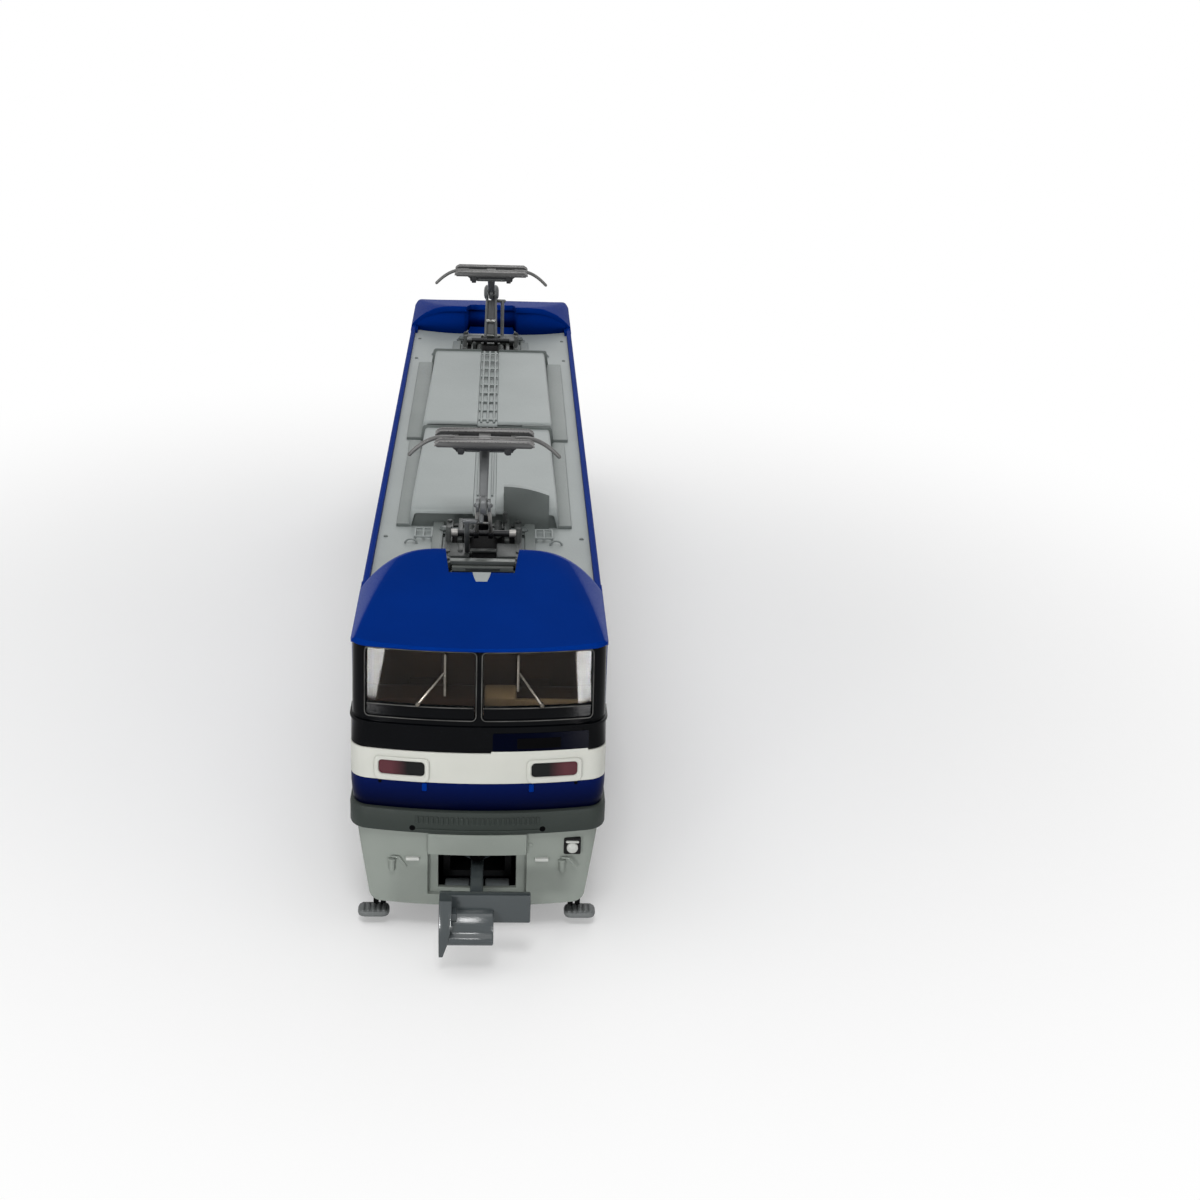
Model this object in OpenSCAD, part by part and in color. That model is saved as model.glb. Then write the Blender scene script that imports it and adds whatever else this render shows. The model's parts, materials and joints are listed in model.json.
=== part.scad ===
// Model electric locomotive, 1:150, nine-millimetre gauge, six axles on three bogies.
// X runs along the track with the front at +X, Y across it, Z up from the wheel flanges.
// Every part of the rear end is the front one turned half a turn about Z.

/* [Body] */
// Length of the body from nose to nose
body_l = 115; // [110:0.5:122]
// Width over the body sides
body_w = 19; // [18.4:0.1:20.4]
// Wall of the moulded body shell
wall = 0.8; // [0.6:0.05:1]
// Plan radius of the bowed nose
nose_r = 38; // [30:1:60]
// Plan radius where the nose turns into the side
corner_r = 1.6; // [1.4:0.1:2.4]
// Backward lean of the windscreen, in degrees
rake = 10.5; // [6:0.5:13]
// Height of the underside of the sill
sill_z = 8.6; // [8.4:0.1:9.4]
// Height of the dark sill
sill_h = 1.95; // [1.6:0.05:2.4]
// Height of the band between the sill and the stripe
band_h = 2.35; // [2:0.05:2.8]
// Height of the pale waist stripe
stripe_h = 2.45; // [2.2:0.05:2.8]
// Height of the dark glazed mask, from the stripe to the visor
mask_h = 7.6; // [7.2:0.05:8.4]
// Length of the mask, from the nose round the corner
mask_wrap = 4.9; // [4.2:0.1:5.6]
// Depth of the mask's face behind the body's face
mask_recess = 0.12; // [0.05:0.01:0.2]
// Thickness of the moulded glazing
glass_t = 0.7; // [0.5:0.05:0.9]

/* [Hood and roof] */
// Rise of the cab hood above the visor
hood_rise = 2.7; // [2.3:0.05:3.1]
// Length of the cab hood, from the nose
hood_l = 15.7; // [15:0.1:17]
// Half width of the flat crown of the hood
hood_flat = 4; // [3.2:0.1:4.6]
// Radius of the hood's shoulders
hood_r = 6.8; // [6.2:0.1:7.6]
// Length of the hood's front slope
hood_slope = 12; // [10:0.1:13]
// Front lip of the hood above the visor line
hood_lip = 0.5; // [0.3:0.05:0.8]
// Width of the rim beside the roof deck
rim_w = 0.55; // [0.4:0.05:0.7]
// Depth of the roof deck below the rim
deck_drop = 0.6; // [0.3:0.05:0.9]
// Thickness of the roof deck
deck_t = 1; // [0.8:0.05:1.2]
// Length of the pantograph notch in the hood
notch_l = 4.6; // [3.5:0.1:5.5]
// Half width of the notch at the deck
notch_w = 2.9; // [2.4:0.1:3.4]
// Height of the equipment boxes on the roof
box_h = 1.9; // [1.4:0.05:2.3]
// Half width of the equipment boxes at the deck
box_w = 6.5; // [5.6:0.1:7]
// Inward lean of the boxes' sides, from deck to top
box_lean = 0.2; // [0.1:0.05:1.2]
// Gap from the front box to the front pantograph's base
box_front_gap = 0.8; // [0.6:0.1:3]
// Gap from the rear box to the rear pantograph's base
box_rear_gap = 0.8; // [0.6:0.1:3]
// Middle of the slot between the two boxes
box_slot_x = 2.2; // [1:0.1:4]
// Width of that slot
box_slot = 1; // [0.6:0.1:1.6]
// Height of the air cowl above the box
cowl_h = 1.9; // [1.2:0.1:2.4]
// Width of the air cowl
cowl_w = 4; // [3:0.1:4.6]
// Length of the air cowl
cowl_l = 5.6; // [4:0.1:7]
// Width of the busbar channel along the boxes
channel_w = 2.3; // [2:0.05:2.8]
// Depth of the busbar channel
channel_d = 0.5; // [0.3:0.05:0.8]

/* [Pantographs] */
// Distance from the hood's back to the main shaft
shaft_setback = 8.8; // [8.4:0.1:9.2]
// Height of the main shaft above the deck
shaft_h = 1.5; // [1.3:0.05:1.8]
// Length of the lower arm
lower_l = 6.98; // [6.4:0.02:7.2]
// Angle of the raised lower arm above the deck
lower_a = 38; // [30:0.5:45]
// Length of the upper arm
upper_l = 6.66; // [6:0.02:7]
// Angle of the raised upper arm above the deck
upper_a = 26; // [20:0.5:34]
// Length of one contact strip
strip_l = 8.06; // [7.4:0.02:8.6]
// Width of one contact strip
strip_w = 0.9; // [0.6:0.05:1.1]
// Distance between the two contact strips
strip_gap = 3; // [2.4:0.1:3.4]
// Span over the horn tube
horn_span = 12.3; // [11.4:0.1:13]
// Drop of the horn tube's tips
horn_drop = 1.5; // [1:0.05:1.8]
// Length of the base frame
base_l = 10.6; // [9.8:0.1:11]
// Main shaft to the base's back end
base_back = 4.8; // [3.6:0.1:5]
// Half width of the base frame
base_w = 3.2; // [3:0.05:3.6]

/* [Running gear] */
// Distance between the backs of two wheels
back_to_back = 7.4; // [7.2:0.05:7.6]
// Tread diameter of the wheels
tread_d = 7.4; // [7:0.1:7.8]
// Height of the flanges
flange_h = 0.65; // [0.5:0.05:0.8]
// Thickness of a flange
flange_t = 0.6; // [0.45:0.05:0.7]
// Width of a wheel over tread and flange
wheel_w = 2.1; // [1.9:0.05:2.3]
// Diameter of the axles
axle_d = 1.5; // [1.3:0.05:1.8]
// Distance between the two axles of a bogie
wheelbase = 16.7; // [16:0.1:17.6]
// Distance from the nose to the centre of an end bogie
bogie_inset = 22.5; // [22:0.1:23.5]
// Swivel of an end bogie each way, in degrees
swivel = 8; // [6:0.5:9]
// Thickness of the bogie side frames
side_t = 1.1; // [0.9:0.05:1.3]

/* [Drive] */
// Module of the gears
gear_m = 0.4; // [0.38:0.005:0.41]
// Width of the gears
gear_w = 1.7; // [1.4:0.1:2]
// Diameter of the idler and worm-wheel pins
pin_d = 1.2; // [1:0.05:1.4]
// Pitch radius of the worm
worm_r = 1.5; // [1.4:0.05:1.7]
// Length of the motor can
motor_l = 15; // [13:0.5:17]
// Width of the motor can
motor_w = 10.6; // [9.6:0.1:11.4]
// Height of the motor can
motor_h = 8.8; // [8.4:0.1:9.4]
// Diameter of the motor shaft
shaft_d = 1.5; // [1.2:0.05:1.8]
// Diameter of the flywheels
flywheel_d = 8.4; // [7:0.1:8.8]
// Length of one flywheel
flywheel_l = 5; // [4:0.1:6]
// Wall of the gearbox side plates
plate_t = 1.2; // [1:0.05:1.4]

/* [Ends] */
// Height of the skirt's lower edge
skirt_z = 2.4; // [2.2:0.1:3]
// Thickness of the skirt
skirt_t = 0.9; // [0.7:0.05:1.1]
// Half width of the coupler opening
mouth_w = 2.8; // [2.6:0.05:3.2]
// Height of the coupler opening
mouth_h = 2.9; // [2.7:0.05:3.2]
// Width of a shunter's step
step_w = 2.4; // [2.1:0.1:3]
// Height of the coupler's shank
shank_h = 1.5; // [1.2:0.05:1.6]
// Width of the coupler's shank
shank_w = 1.6; // [1.3:0.05:1.8]
// Reach of the coupler's face beyond the nose
coupler_reach = 6; // [5:0.1:7]

/* [Clearances] */
// Radial clearance of a shaft in its bore
run_gap = 0.05; // [0.03:0.01:0.08]
// Clearance between pieces that are pushed together
fit_gap = 0.05; // [0.02:0.01:0.1]
// Clearance round a moving piece
free_gap = 0.3; // [0.2:0.05:0.4]

/* [Hidden] */
$fn = 48;
big = 60;
nose_x = body_l / 2;
half_w = body_w / 2;
body_z = sill_z + sill_h;
stripe_z = body_z + band_h;
mask_z = stripe_z + stripe_h;
visor_z = mask_z + mask_h;
hood_top = visor_z + hood_rise;
hood_x = nose_x - hood_l;
mask_x = nose_x - mask_wrap;
deck_z = visor_z - deck_drop;
deck_w = half_w - rim_w;
box_top = deck_z + box_h;
slope_drop = hood_rise - hood_lip;
slope_r = (hood_slope ^ 2 + slope_drop ^ 2) / (2 * slope_drop);
slope_x = nose_x - 1.3 - hood_slope;
ring_w = 1.2;
floor_t = 0.8;
end_floor_l = 10;
lamp_y = 5.65;
lamp_w = 3.5;
lamp_h = 1.16;
lamp_z = stripe_z + 1.1;
lamp_frame = 0.3;
side_window_x = mask_x - 5.6;
side_window_w = 3.6;
side_window_z = mask_z + 2;
side_window_h = 4;
door_x = side_window_x - 4.4;
door_w = 3.6;
groove = 0.2;
louvre_n = 7;
louvre_pitch = 10.2;
louvre_w = 8;
slat_n = 6;
slat_pitch = 0.62;
axle_z = tread_d / 2 + flange_h;
bogie_x = nose_x - bogie_inset;
half_base = wheelbase / 2;
axle_r = axle_d / 2;
pin_r = pin_d / 2;
wheel_n = 14;
idler_n = 12;
mesh_gap = 0.04;
worm_gap = 0.12;
idler_x = half_base / 2;
axle_mesh = gear_m * idler_n + mesh_gap;
wheel_mesh = gear_m * (idler_n + wheel_n) / 2 + mesh_gap;
idler_z = axle_z + sqrt(axle_mesh ^ 2 - (half_base - idler_x) ^ 2);
worm_wheel_z = idler_z + sqrt(wheel_mesh ^ 2 - idler_x ^ 2);
worm_z = worm_wheel_z + gear_m * wheel_n / 2 + worm_r + worm_gap;
worm_lead = PI * gear_m;
worm_l = 3.5 * worm_lead;
worm_throw = 0.28;
worm_wheel_w = 1.2;
slot_w = gear_w / 2 + 0.25;
box_y = slot_w + plate_t;
gearbox_l = half_base + axle_z + 0.1;
gearbox_z = axle_z - gear_m * idler_n / 2 - 0.9 * gear_m - free_gap;
gearbox_top = idler_z + pin_r + 0.6;
tower_l = 3.6;
tower_top = worm_wheel_z + pin_r + 0.9;
tower_swing = norm([tower_l, box_y]);
gear_tip = gear_m * idler_n / 2 + 0.9 * gear_m;
idler_reach = idler_x + gear_tip + free_gap;
idler_swing = gear_w / 2 + idler_reach * sin(swivel) + free_gap;
bolster_r = 5.6;
keeper_t = 0.4;
chassis_z = 2 * axle_z + 0.6;
chassis_l = nose_x - 11.5;
chassis_w = half_w - ring_w - fit_gap;
chassis_top = worm_z + motor_h / 2 + 0.75;
board_t = 0.7;
shaft_r = shaft_d / 2;
flywheel_x = motor_l / 2 + 2.2;
bearing_r = 1.9;
bearing_t = 1.6;
bearing_gap = 0.8;
shaft_end = bogie_x + worm_l / 2 + bearing_gap + bearing_t;
screw_gap = 3.65;
screw_x = bogie_x - half_base - screw_gap;
screw_r = 0.7;
screw_head = 1.3;
screw_z = chassis_z + 1.6;
head_l = 1;
board_half = chassis_w * 0.545;
can_t = 0.5;
can_r = 2;
bell_t = 1.2;
boss_l = 0.9;
boss_r = 1.7;
rotor_gap = 0.6;
side_y = back_to_back / 2 + wheel_w + 0.6;
stub_l = side_y - 0.4;
trunnion_l = side_y + side_t - 0.3;
trunnion_r = 0.5;
axle_box_r = 1.25;
spring_off = 2.1;
spring_n = 5;
spring_pitch = 0.52;
spring_r = 0.75;
spring_core = 0.55;
beam_x = gearbox_l + fit_gap;
beam_t = 1;
coupler_z = skirt_z + 2.75;
pin_x = nose_x - 5;
coupler_pin_r = 0.55;
mouth_z = coupler_z - mouth_h / 2;
pocket_w = 2.1;
step_x = nose_x - 2.1;
step_z = 0.7;
strut_x = nose_x - 2.75;
flange_z = sill_z - 0.6;
flange_x = nose_x - 4.6;
cab_x = nose_x - 10.7;
shaft_x = hood_x - shaft_setback;
box_front = shaft_x - base_back - box_front_gap;
box_rear = shaft_x - base_back - box_rear_gap;
shaft_z = deck_z + shaft_h;
knee_x = shaft_x + lower_l * cos(lower_a);
knee_z = shaft_z + lower_l * sin(lower_a);
head_x = knee_x - upper_l * cos(upper_a);
head_z = knee_z + upper_l * sin(upper_a);
arm_r = 0.32;
arm_pin_r = 0.24;
tail_l = 1.3;
tail_a = -60;
rod_x = shaft_x + 3.15;
rod_z = deck_z + 0.85;
rod_y = 1.3;
leg_y = 0.85;
fork_y = 0.48;
eye_w = 0.42;
eye_gap = 0.08;
rod_r = 0.2;
foot_z = deck_z + 0.5;
beam_h = 0.5;

// Points of an arc about c with radius r, from angle a to angle b in n steps
function arc(c, r, a, b, n) =
  [for (i = [0:n]) let(t = a + (b - a) * i / n) [c[0] + r * cos(t), c[1] + r * sin(t)]];

// Outline of a bar with rounded ends and corners, centred, as points
function round_bar(w, h, r) = concat(
  arc([w / 2 - r, h / 2 - r], r, 0, 90, 5), arc([r - w / 2, h / 2 - r], r, 90, 180, 5),
  arc([r - w / 2, r - h / 2], r, 180, 270, 5), arc([w / 2 - r, r - h / 2], r, 270, 360, 5));

module both_ends() {
  children();
  rotate([0, 0, 180]) children();
}

module both_sides() {
  children();
  mirror([0, 1, 0]) children();
}

module rear() rotate([0, 0, 180]) children();

// Drawn in Y and Z and pulled along X, or drawn in X and Z and pulled both ways along Y
module along_x(l) rotate([90, 0, 90]) linear_extrude(l) children();
module along_y(l) rotate([90, 0, 0]) linear_extrude(l, center = true) children();

module y_rod(x, y0, y1, z, r) translate([x, y0, z]) rotate([-90, 0, 0]) cylinder(r = r, h = y1 - y0);
module x_rod(x0, x1, y, z, r) translate([x0, y, z]) rotate([0, 90, 0]) cylinder(r = r, h = x1 - x0);

// Front half of the body's plan, t inside the outer face
module nose_plan(t) {
  w = half_w - t;
  r = nose_r - t;
  c = corner_r - t;
  a = asin((w - c) / (r - c));
  centre = nose_x - t - r;
  corner_x = centre + (r - c) * cos(a);
  polygon(concat([[-6, -w]], arc([corner_x, c - w], c, -90, -a, 5), arc([centre, 0], r, -a, a, 12),
    arc([corner_x, w - c], c, a, 90, 5), [[-6, w]]));
}

// Hood's cross section: a flat crown with round shoulders
module hood_section(t) {
  r = hood_r - t;
  z = hood_top - hood_r;
  a = -20;
  polygon(concat(arc([hood_flat, z], r, a, 90, 9), arc([-hood_flat, z], r, 90, 180 - a, 9),
    [[-hood_flat - r, 0], [hood_flat + r, 0]]));
}

// Hood's side profile: level, then a slope that rounds down to the lip
module hood_profile(t) {
  r = slope_r - t;
  front = asin((nose_x + 1 - slope_x) / slope_r);
  polygon(concat([[-7, 0], [-7, hood_top - t]], arc([slope_x, hood_top - slope_r], r, 90, 90 - front, 8),
    [[nose_x + 1, 0]]));
}

// Front half of the body as a solid, t inside the outer face and from height z0 up
module half_body(t, z0) {
  intersection() {
    translate([0, 0, z0]) linear_extrude(big) nose_plan(t);
    translate([nose_x, 0, mask_z]) rotate([0, -rake, 0]) translate([-nose_x, 0, -big])
      linear_extrude(2 * big) nose_plan(t);
    translate([-7, 0, 0]) along_x(big * 2) hood_section(t);
    along_y(body_w + 4) hood_profile(t);
  }
}

module lamp_block(grow, x0) {
  both_sides() translate([x0, lamp_y, lamp_z]) along_x(nose_x + 1 - x0)
    polygon(round_bar(lamp_w + 2 * grow, lamp_h + 2 * grow, lamp_h / 2.4));
}

module side_louvres() {
  for (i = [0:louvre_n - 1], k = [0:slat_n - 1], s = [-1, 1])
    translate([(i - (louvre_n - 1) / 2) * louvre_pitch, s * half_w,
        mask_z + 2.2 + k * slat_pitch])
      cube([louvre_w, 2 * groove, slat_pitch / 2], center = true);
}

module door_outline() {
  both_sides() translate([door_x, half_w, mask_z + 1.5]) rotate([90, 0, 0])
    linear_extrude(2 * groove, center = true) difference() {
      square([door_w, 8.8], center = true);
      square([door_w - 2 * groove, 8.8 - 2 * groove], center = true);
    }
}

module side_window_block(w, h, t) {
  both_sides() translate([side_window_x + side_window_w / 2, half_w - t, side_window_z + side_window_h / 2])
    rotate([-90, 0, 0]) linear_extrude(t + 1) polygon(round_bar(w, h, 0.5));
}

module notch_outline(grow) {
  w = notch_w + grow;
  translate([hood_x, 0]) polygon([[-1, -w], [0, -w], [notch_l + grow, -w + 0.35],
    [notch_l + grow, w - 0.35], [0, w], [-1, w]]);
}

// Moulded body with its hoods, open below, over the roof and at the glazing
module body_shell() {
  color("royalblue") difference() {
    union() {
      both_ends() half_body(0, body_z);
      both_ends() intersection() {
        lamp_block(lamp_frame, nose_x - 3);
        translate([0.15, 0, 0]) half_body(0, body_z);
      }
    }
    difference() {
      both_ends() half_body(wall, body_z - 1);
      both_ends() {
        translate([hood_x, -half_w, deck_z]) cube([wall, body_w, 10]);
        translate([0, 0, deck_z]) linear_extrude(10) notch_outline(wall);
      }
    }
    translate([-hood_x, -deck_w, deck_z - deck_t]) cube([2 * hood_x, 2 * deck_w, 10]);
    translate([-hood_x, -half_w - 1, visor_z]) cube([2 * hood_x, body_w + 2, 10]);
    both_ends() {
      translate([0, 0, deck_z]) linear_extrude(10) notch_outline(0);
      translate([mask_x, -half_w - 1, mask_z]) cube([mask_wrap + 1, body_w + 2, mask_h]);
      lamp_block(0, nose_x - 5);
      side_window_block(side_window_w, side_window_h, wall + 1);
      door_outline();
    }
    side_louvres();
  }
}

// Clear moulding behind the visor, round both corners
module windscreen_front() {
  color("black") difference() {
    intersection() {
      half_body(mask_recess, mask_z);
      translate([mask_x + fit_gap, -half_w, mask_z]) cube([mask_wrap, body_w, mask_h - fit_gap]);
    }
    half_body(mask_recess + glass_t, mask_z - 1);
  }
}
module windscreen_rear() rear() windscreen_front();

module side_windows() {
  color("dimgray") both_ends() intersection() {
    side_window_block(side_window_w - 2 * fit_gap, side_window_h - 2 * fit_gap, wall);
    translate([0, -half_w + mask_recess, 0]) cube([nose_x, body_w - 2 * mask_recess, hood_top]);
  }
}

module headlamp_lenses() {
  color("darkslategray") both_ends() intersection() {
    lamp_block(-fit_gap, nose_x - 5);
    difference() {
      half_body(0, body_z);
      half_body(wall + 0.3, body_z - 1);
    }
  }
}

module light_guides() {
  guide_x = nose_x - 2.9;
  color("gainsboro") both_ends() both_sides() difference() {
    translate([chassis_l + fit_gap, lamp_y - 1.2, lamp_z - 0.45]) cube([nose_x - chassis_l, 2.4, 0.9]);
    translate([0, 0, 0]) difference() {
      translate([guide_x, 0, 0]) cube([6, half_w, hood_top]);
      half_body(wall + 0.3, body_z - 1);
    }
  }
}

// Driver's cab: floor, back wall, desk and two seats
module cab_interior_front() {
  floor_z = mask_z + 0.3;
  w = half_w - wall - 0.35;
  front = nose_x - 3.6;
  color("tan") {
    translate([cab_x, -w, floor_z]) cube([front - cab_x, 2 * w, 0.6]);
    translate([cab_x, -w, floor_z]) cube([0.6, 2 * w, deck_z - deck_t - 0.3 - floor_z]);
    along_y(2 * w) polygon([[front - 3, floor_z + 0.3], [front - 3, floor_z + 2.3],
      [front - 2.4, floor_z + 2.5], [front - 0.7, floor_z + 2], [front, floor_z + 2.5],
      [front, floor_z + 0.3]]);
    both_sides() {
      translate([cab_x + 1.6, w / 2 - 1.2, floor_z + 0.3]) cube([2, 2.4, 1.6]);
      translate([cab_x + 1.2, w / 2 - 1.2, floor_z + 0.3]) cube([0.6, 2.4, 3.8]);
    }
  }
}
module cab_interior_rear() rear() cab_interior_front();

// Roof moulding: the deck, two equipment boxes, an air cowl and side conduits
module roof_deck() {
  w = deck_w - fit_gap;
  chamfer = 0.3;
  duct_w = 0.95;
  duct_h = 0.45;
  inner_w = half_w - wall - fit_gap;
  color("gainsboro") {
    difference() {
      union() {
        translate([fit_gap - hood_x, -w, deck_z - deck_t]) cube([2 * (hood_x - fit_gap), 2 * w, deck_t]);
        both_ends() intersection() {
          translate([hood_x - 1, -inner_w, deck_z - deck_t])
            cube([notch_l + wall + 1, 2 * inner_w, deck_t]);
          translate([0, 0, deck_z - deck_t]) linear_extrude(deck_t) union() {
            notch_outline(wall);
            translate([0, -inner_w]) square([hood_x + wall, 2 * inner_w]);
          }
        }
        for (b = [[-box_rear, box_slot_x - box_slot / 2], [box_slot_x + box_slot / 2, box_front]])
          translate([b[0], 0, 0]) along_x(b[1] - b[0]) polygon([[-box_w, deck_z - deck_t / 2],
            [-box_w, deck_z + chamfer], [box_lean - box_w, box_top - chamfer],
            [box_lean + chamfer - box_w, box_top], [box_w - box_lean - chamfer, box_top],
            [box_w - box_lean, box_top - chamfer], [box_w, deck_z + chamfer],
            [box_w, deck_z - deck_t / 2]]);
        translate([box_front - cowl_l, channel_w / 2 + 0.4 + cowl_w / 2, 0]) along_x(cowl_l)
          polygon(concat(arc([0, box_top + cowl_h - cowl_w / 2], cowl_w / 2, 0, 180, 10),
            [[-cowl_w / 2, deck_z], [cowl_w / 2, deck_z]]));
        both_sides() {
          translate([-box_rear, box_w + 0.3, deck_z - deck_t / 2])
            cube([box_rear + box_slot_x - box_slot / 2, duct_w + 0.2, duct_h + deck_t / 2]);
          translate([box_slot_x + box_slot / 2, box_w + 0.1, deck_z - deck_t / 2])
            cube([box_front - box_slot_x - box_slot / 2, duct_w, duct_h + deck_t / 2]);
        }
      }
      translate([-box_rear - 1, -channel_w / 2, box_top - channel_d])
        cube([box_rear + box_front + 2, channel_w, channel_d + 1]);
    }
  }
}

// Roof cables in their channel: three bars on cross ties
module roof_busbar() {
  floor_z = box_top - channel_d;
  ties = 16;
  span = box_rear + box_front - 2;
  color("silver") {
    for (y = [-0.7, 0, 0.7]) x_rod(1 - box_rear, box_front - 1, y, floor_z + 0.45, 0.18);
    for (i = [0:ties - 1]) let(x = 1.5 - box_rear + (span - 1) * i / (ties - 1))
      if (abs(x - box_slot_x) > box_slot) translate([x - 0.25, 0.15 - channel_w / 2, floor_z])
        cube([0.5, channel_w - 0.3, 0.45]);
  }
}

// Ring frame under the body with a floor at each end, step ribs and two sockets in the end sill
module underframe() {
  rib_w = 4.45;
  rib_n = 12;
  rib_pitch = 2 * rib_w / rib_n;
  hole_y = 4.9;
  hole_r = 0.22;
  color("dimgray") difference() {
    union() {
      both_ends() translate([0, 0, sill_z]) linear_extrude(sill_h) difference() {
        nose_plan(0);
        translate([-1, 0]) nose_plan(ring_w);
      }
      both_ends() intersection() {
        translate([0, 0, sill_z]) linear_extrude(floor_t) nose_plan(ring_w / 2);
        translate([nose_x - end_floor_l, -half_w, sill_z]) cube([end_floor_l, body_w, sill_h]);
      }
    }
    both_ends() {
      both_sides() x_rod(nose_x - 1.2, nose_x + 1, hole_y, sill_z + 0.55, hole_r);
      for (i = [0:rib_n - 1]) translate([nose_x - 0.35, (i - (rib_n - 1) / 2) * rib_pitch, sill_z + 1.3])
        cube([1, rib_pitch / 2, 0.7], center = true);
    }
  }
}

// End skirt with its raised centre panel and coupler opening
module skirt_front() {
  top_w = half_w - 0.6;
  low_w = top_w - 0.8;
  turn = 1.2;
  outline = concat([[top_w, sill_z]], arc([low_w - turn, skirt_z + turn], turn, 0, -90, 6),
    arc([turn - low_w, skirt_z + turn], turn, -90, -180, 6), [[-top_w, sill_z]]);
  panel = 0.35;
  panel_w = mouth_w + 0.85;
  color("silver") difference() {
    union() {
      intersection() {
        translate([0, 0, skirt_z]) linear_extrude(sill_z - skirt_z) difference() {
          nose_plan(panel);
          nose_plan(panel + skirt_t);
        }
        translate([nose_x - 6, 0, 0]) along_x(7) polygon(outline);
      }
      intersection() {
        translate([0, 0, skirt_z]) linear_extrude(sill_z - skirt_z) difference() {
          nose_plan(0);
          nose_plan(panel + skirt_t);
        }
        translate([nose_x - 6, -panel_w, 0]) cube([7, 2 * panel_w, sill_z]);
      }
      intersection() {
        translate([0, 0, flange_z]) linear_extrude(sill_z - flange_z) nose_plan(panel + skirt_t / 2);
        translate([flange_x, -top_w + 1, flange_z]) cube([6, 2 * top_w - 2, 2]);
      }
    }
    translate([nose_x - 4, 0, coupler_z]) along_x(6) polygon(round_bar(2 * mouth_w, mouth_h, 0.4));
    translate([nose_x - panel - 0.4, 0, coupler_z]) along_x(3)
      polygon(round_bar(2 * mouth_w + 1.5, mouth_h + 0.7, 0.3));
  }
  color("gray") both_sides() {
    x_rod(nose_x - 1, nose_x - 0.1, half_w - 3.1, coupler_z + 0.3, 0.35);
    translate([nose_x - 1, half_w - 3.35, coupler_z + 0.2]) cube([0.75, 0.5, 1.1]);
  }
}
module skirt_rear() rear() skirt_front();

// Ribbed foot plates under the skirt corners, each on two struts from the skirt's flange
module shunter_steps() {
  outer = half_w - 0.4;
  rib_n = 6;
  color("dimgray") both_ends() both_sides() {
    difference() {
      translate([step_x - 0.9, outer - step_w, step_z]) cube([1.5, step_w, 1]);
      for (i = [0:rib_n - 1])
        translate([step_x - 0.5, outer - step_w + (i + 0.3) * step_w / rib_n, step_z + 0.8])
        cube([2, step_w / rib_n / 2, 0.5]);
    }
    for (y = [outer - step_w + 0.4, outer - 1.4])
      translate([strut_x - 0.2, y, step_z + 0.5]) cube([0.4, 0.4, flange_z - step_z - 0.5]);
  }
}

// Plain jumper-cable socket with a round cap, on the skirt at the driver's right
module jumper_sockets() {
  x = nose_x - 1.15;
  y = half_w - 2.35;
  z = flange_z - 0.7;
  color("black") both_ends() difference() {
    union() {
      translate([x, y - 0.65, z - 0.75]) cube([1.25, 1.3, 1.5]);
      x_rod(x + 1, x + 1.5, y, z, 0.45);
    }
    linear_extrude(sill_z) nose_plan(0.35 - fit_gap);
  }
}

// Coupler pocket under the end floor, with its swivel pin
module coupler_pocket_front() {
  z0 = coupler_z - shank_h / 2 - free_gap;
  z1 = coupler_z + shank_h / 2 + free_gap;
  x0 = pin_x - 2.2;
  l = 4.4;
  t = 0.5;
  color("dimgray") {
    difference() {
      translate([x0, -pocket_w - t, z0 - t]) cube([l, 2 * (pocket_w + t), z1 - z0 + 2 * t]);
      translate([x0 + t, -pocket_w, z0]) cube([l, 2 * pocket_w, z1 - z0]);
    }
    translate([pin_x, 0, z0 - t]) cylinder(r = coupler_pin_r, h = z1 - z0 + 2 * t);
    translate([x0, -1.5, z1 + t / 2]) cube([1.9, 3, sill_z - z1 - t / 2]);
  }
}
module coupler_pocket_rear() rear() coupler_pocket_front();

// Hook coupler: shank, cross plate, side fin and round-nosed bar
module coupler_front() {
  face = nose_x + coupler_reach;
  plate_x = face - 2.6;
  left = -2.7;
  right = 4;
  color("slategray") {
    difference() {
      union() {
        translate([pin_x, 0, coupler_z - shank_h / 2]) cylinder(r = shank_w * 0.75, h = shank_h);
        translate([pin_x, -shank_w / 2, coupler_z - shank_h / 2])
          cube([plate_x - pin_x + 0.3, shank_w, shank_h]);
      }
      translate([pin_x, 0, coupler_z - 5]) cylinder(r = coupler_pin_r + run_gap, h = 10);
    }
    translate([plate_x, left, coupler_z - 1.6]) cube([0.7, right - left, 2.3]);
    translate([0, left + 0.3, 0]) along_y(0.6) polygon([[plate_x, coupler_z + 0.7],
      [plate_x + 1.7, coupler_z + 0.7], [face - 0.1, coupler_z - 2.2], [face - 0.8, coupler_z - 3.9],
      [plate_x + 0.7, coupler_z - 1.6], [plate_x, coupler_z - 1.6]]);
    translate([0, (left + 1.3) / 2, 0]) along_y(1.3 - left) polygon(concat(
      arc([face - 0.75, coupler_z - 0.7], 0.75, 0, 180, 8), [[face - 1.5, coupler_z - 2.2]],
      arc([face - 0.75, coupler_z - 1.8], 0.75, -120, 0, 5)));
    translate([plate_x, left, coupler_z - 0.9]) cube([face - 0.75 - plate_x, 1.2, 0.6]);
  }
}
module coupler_rear() rear() coupler_front();

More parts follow.
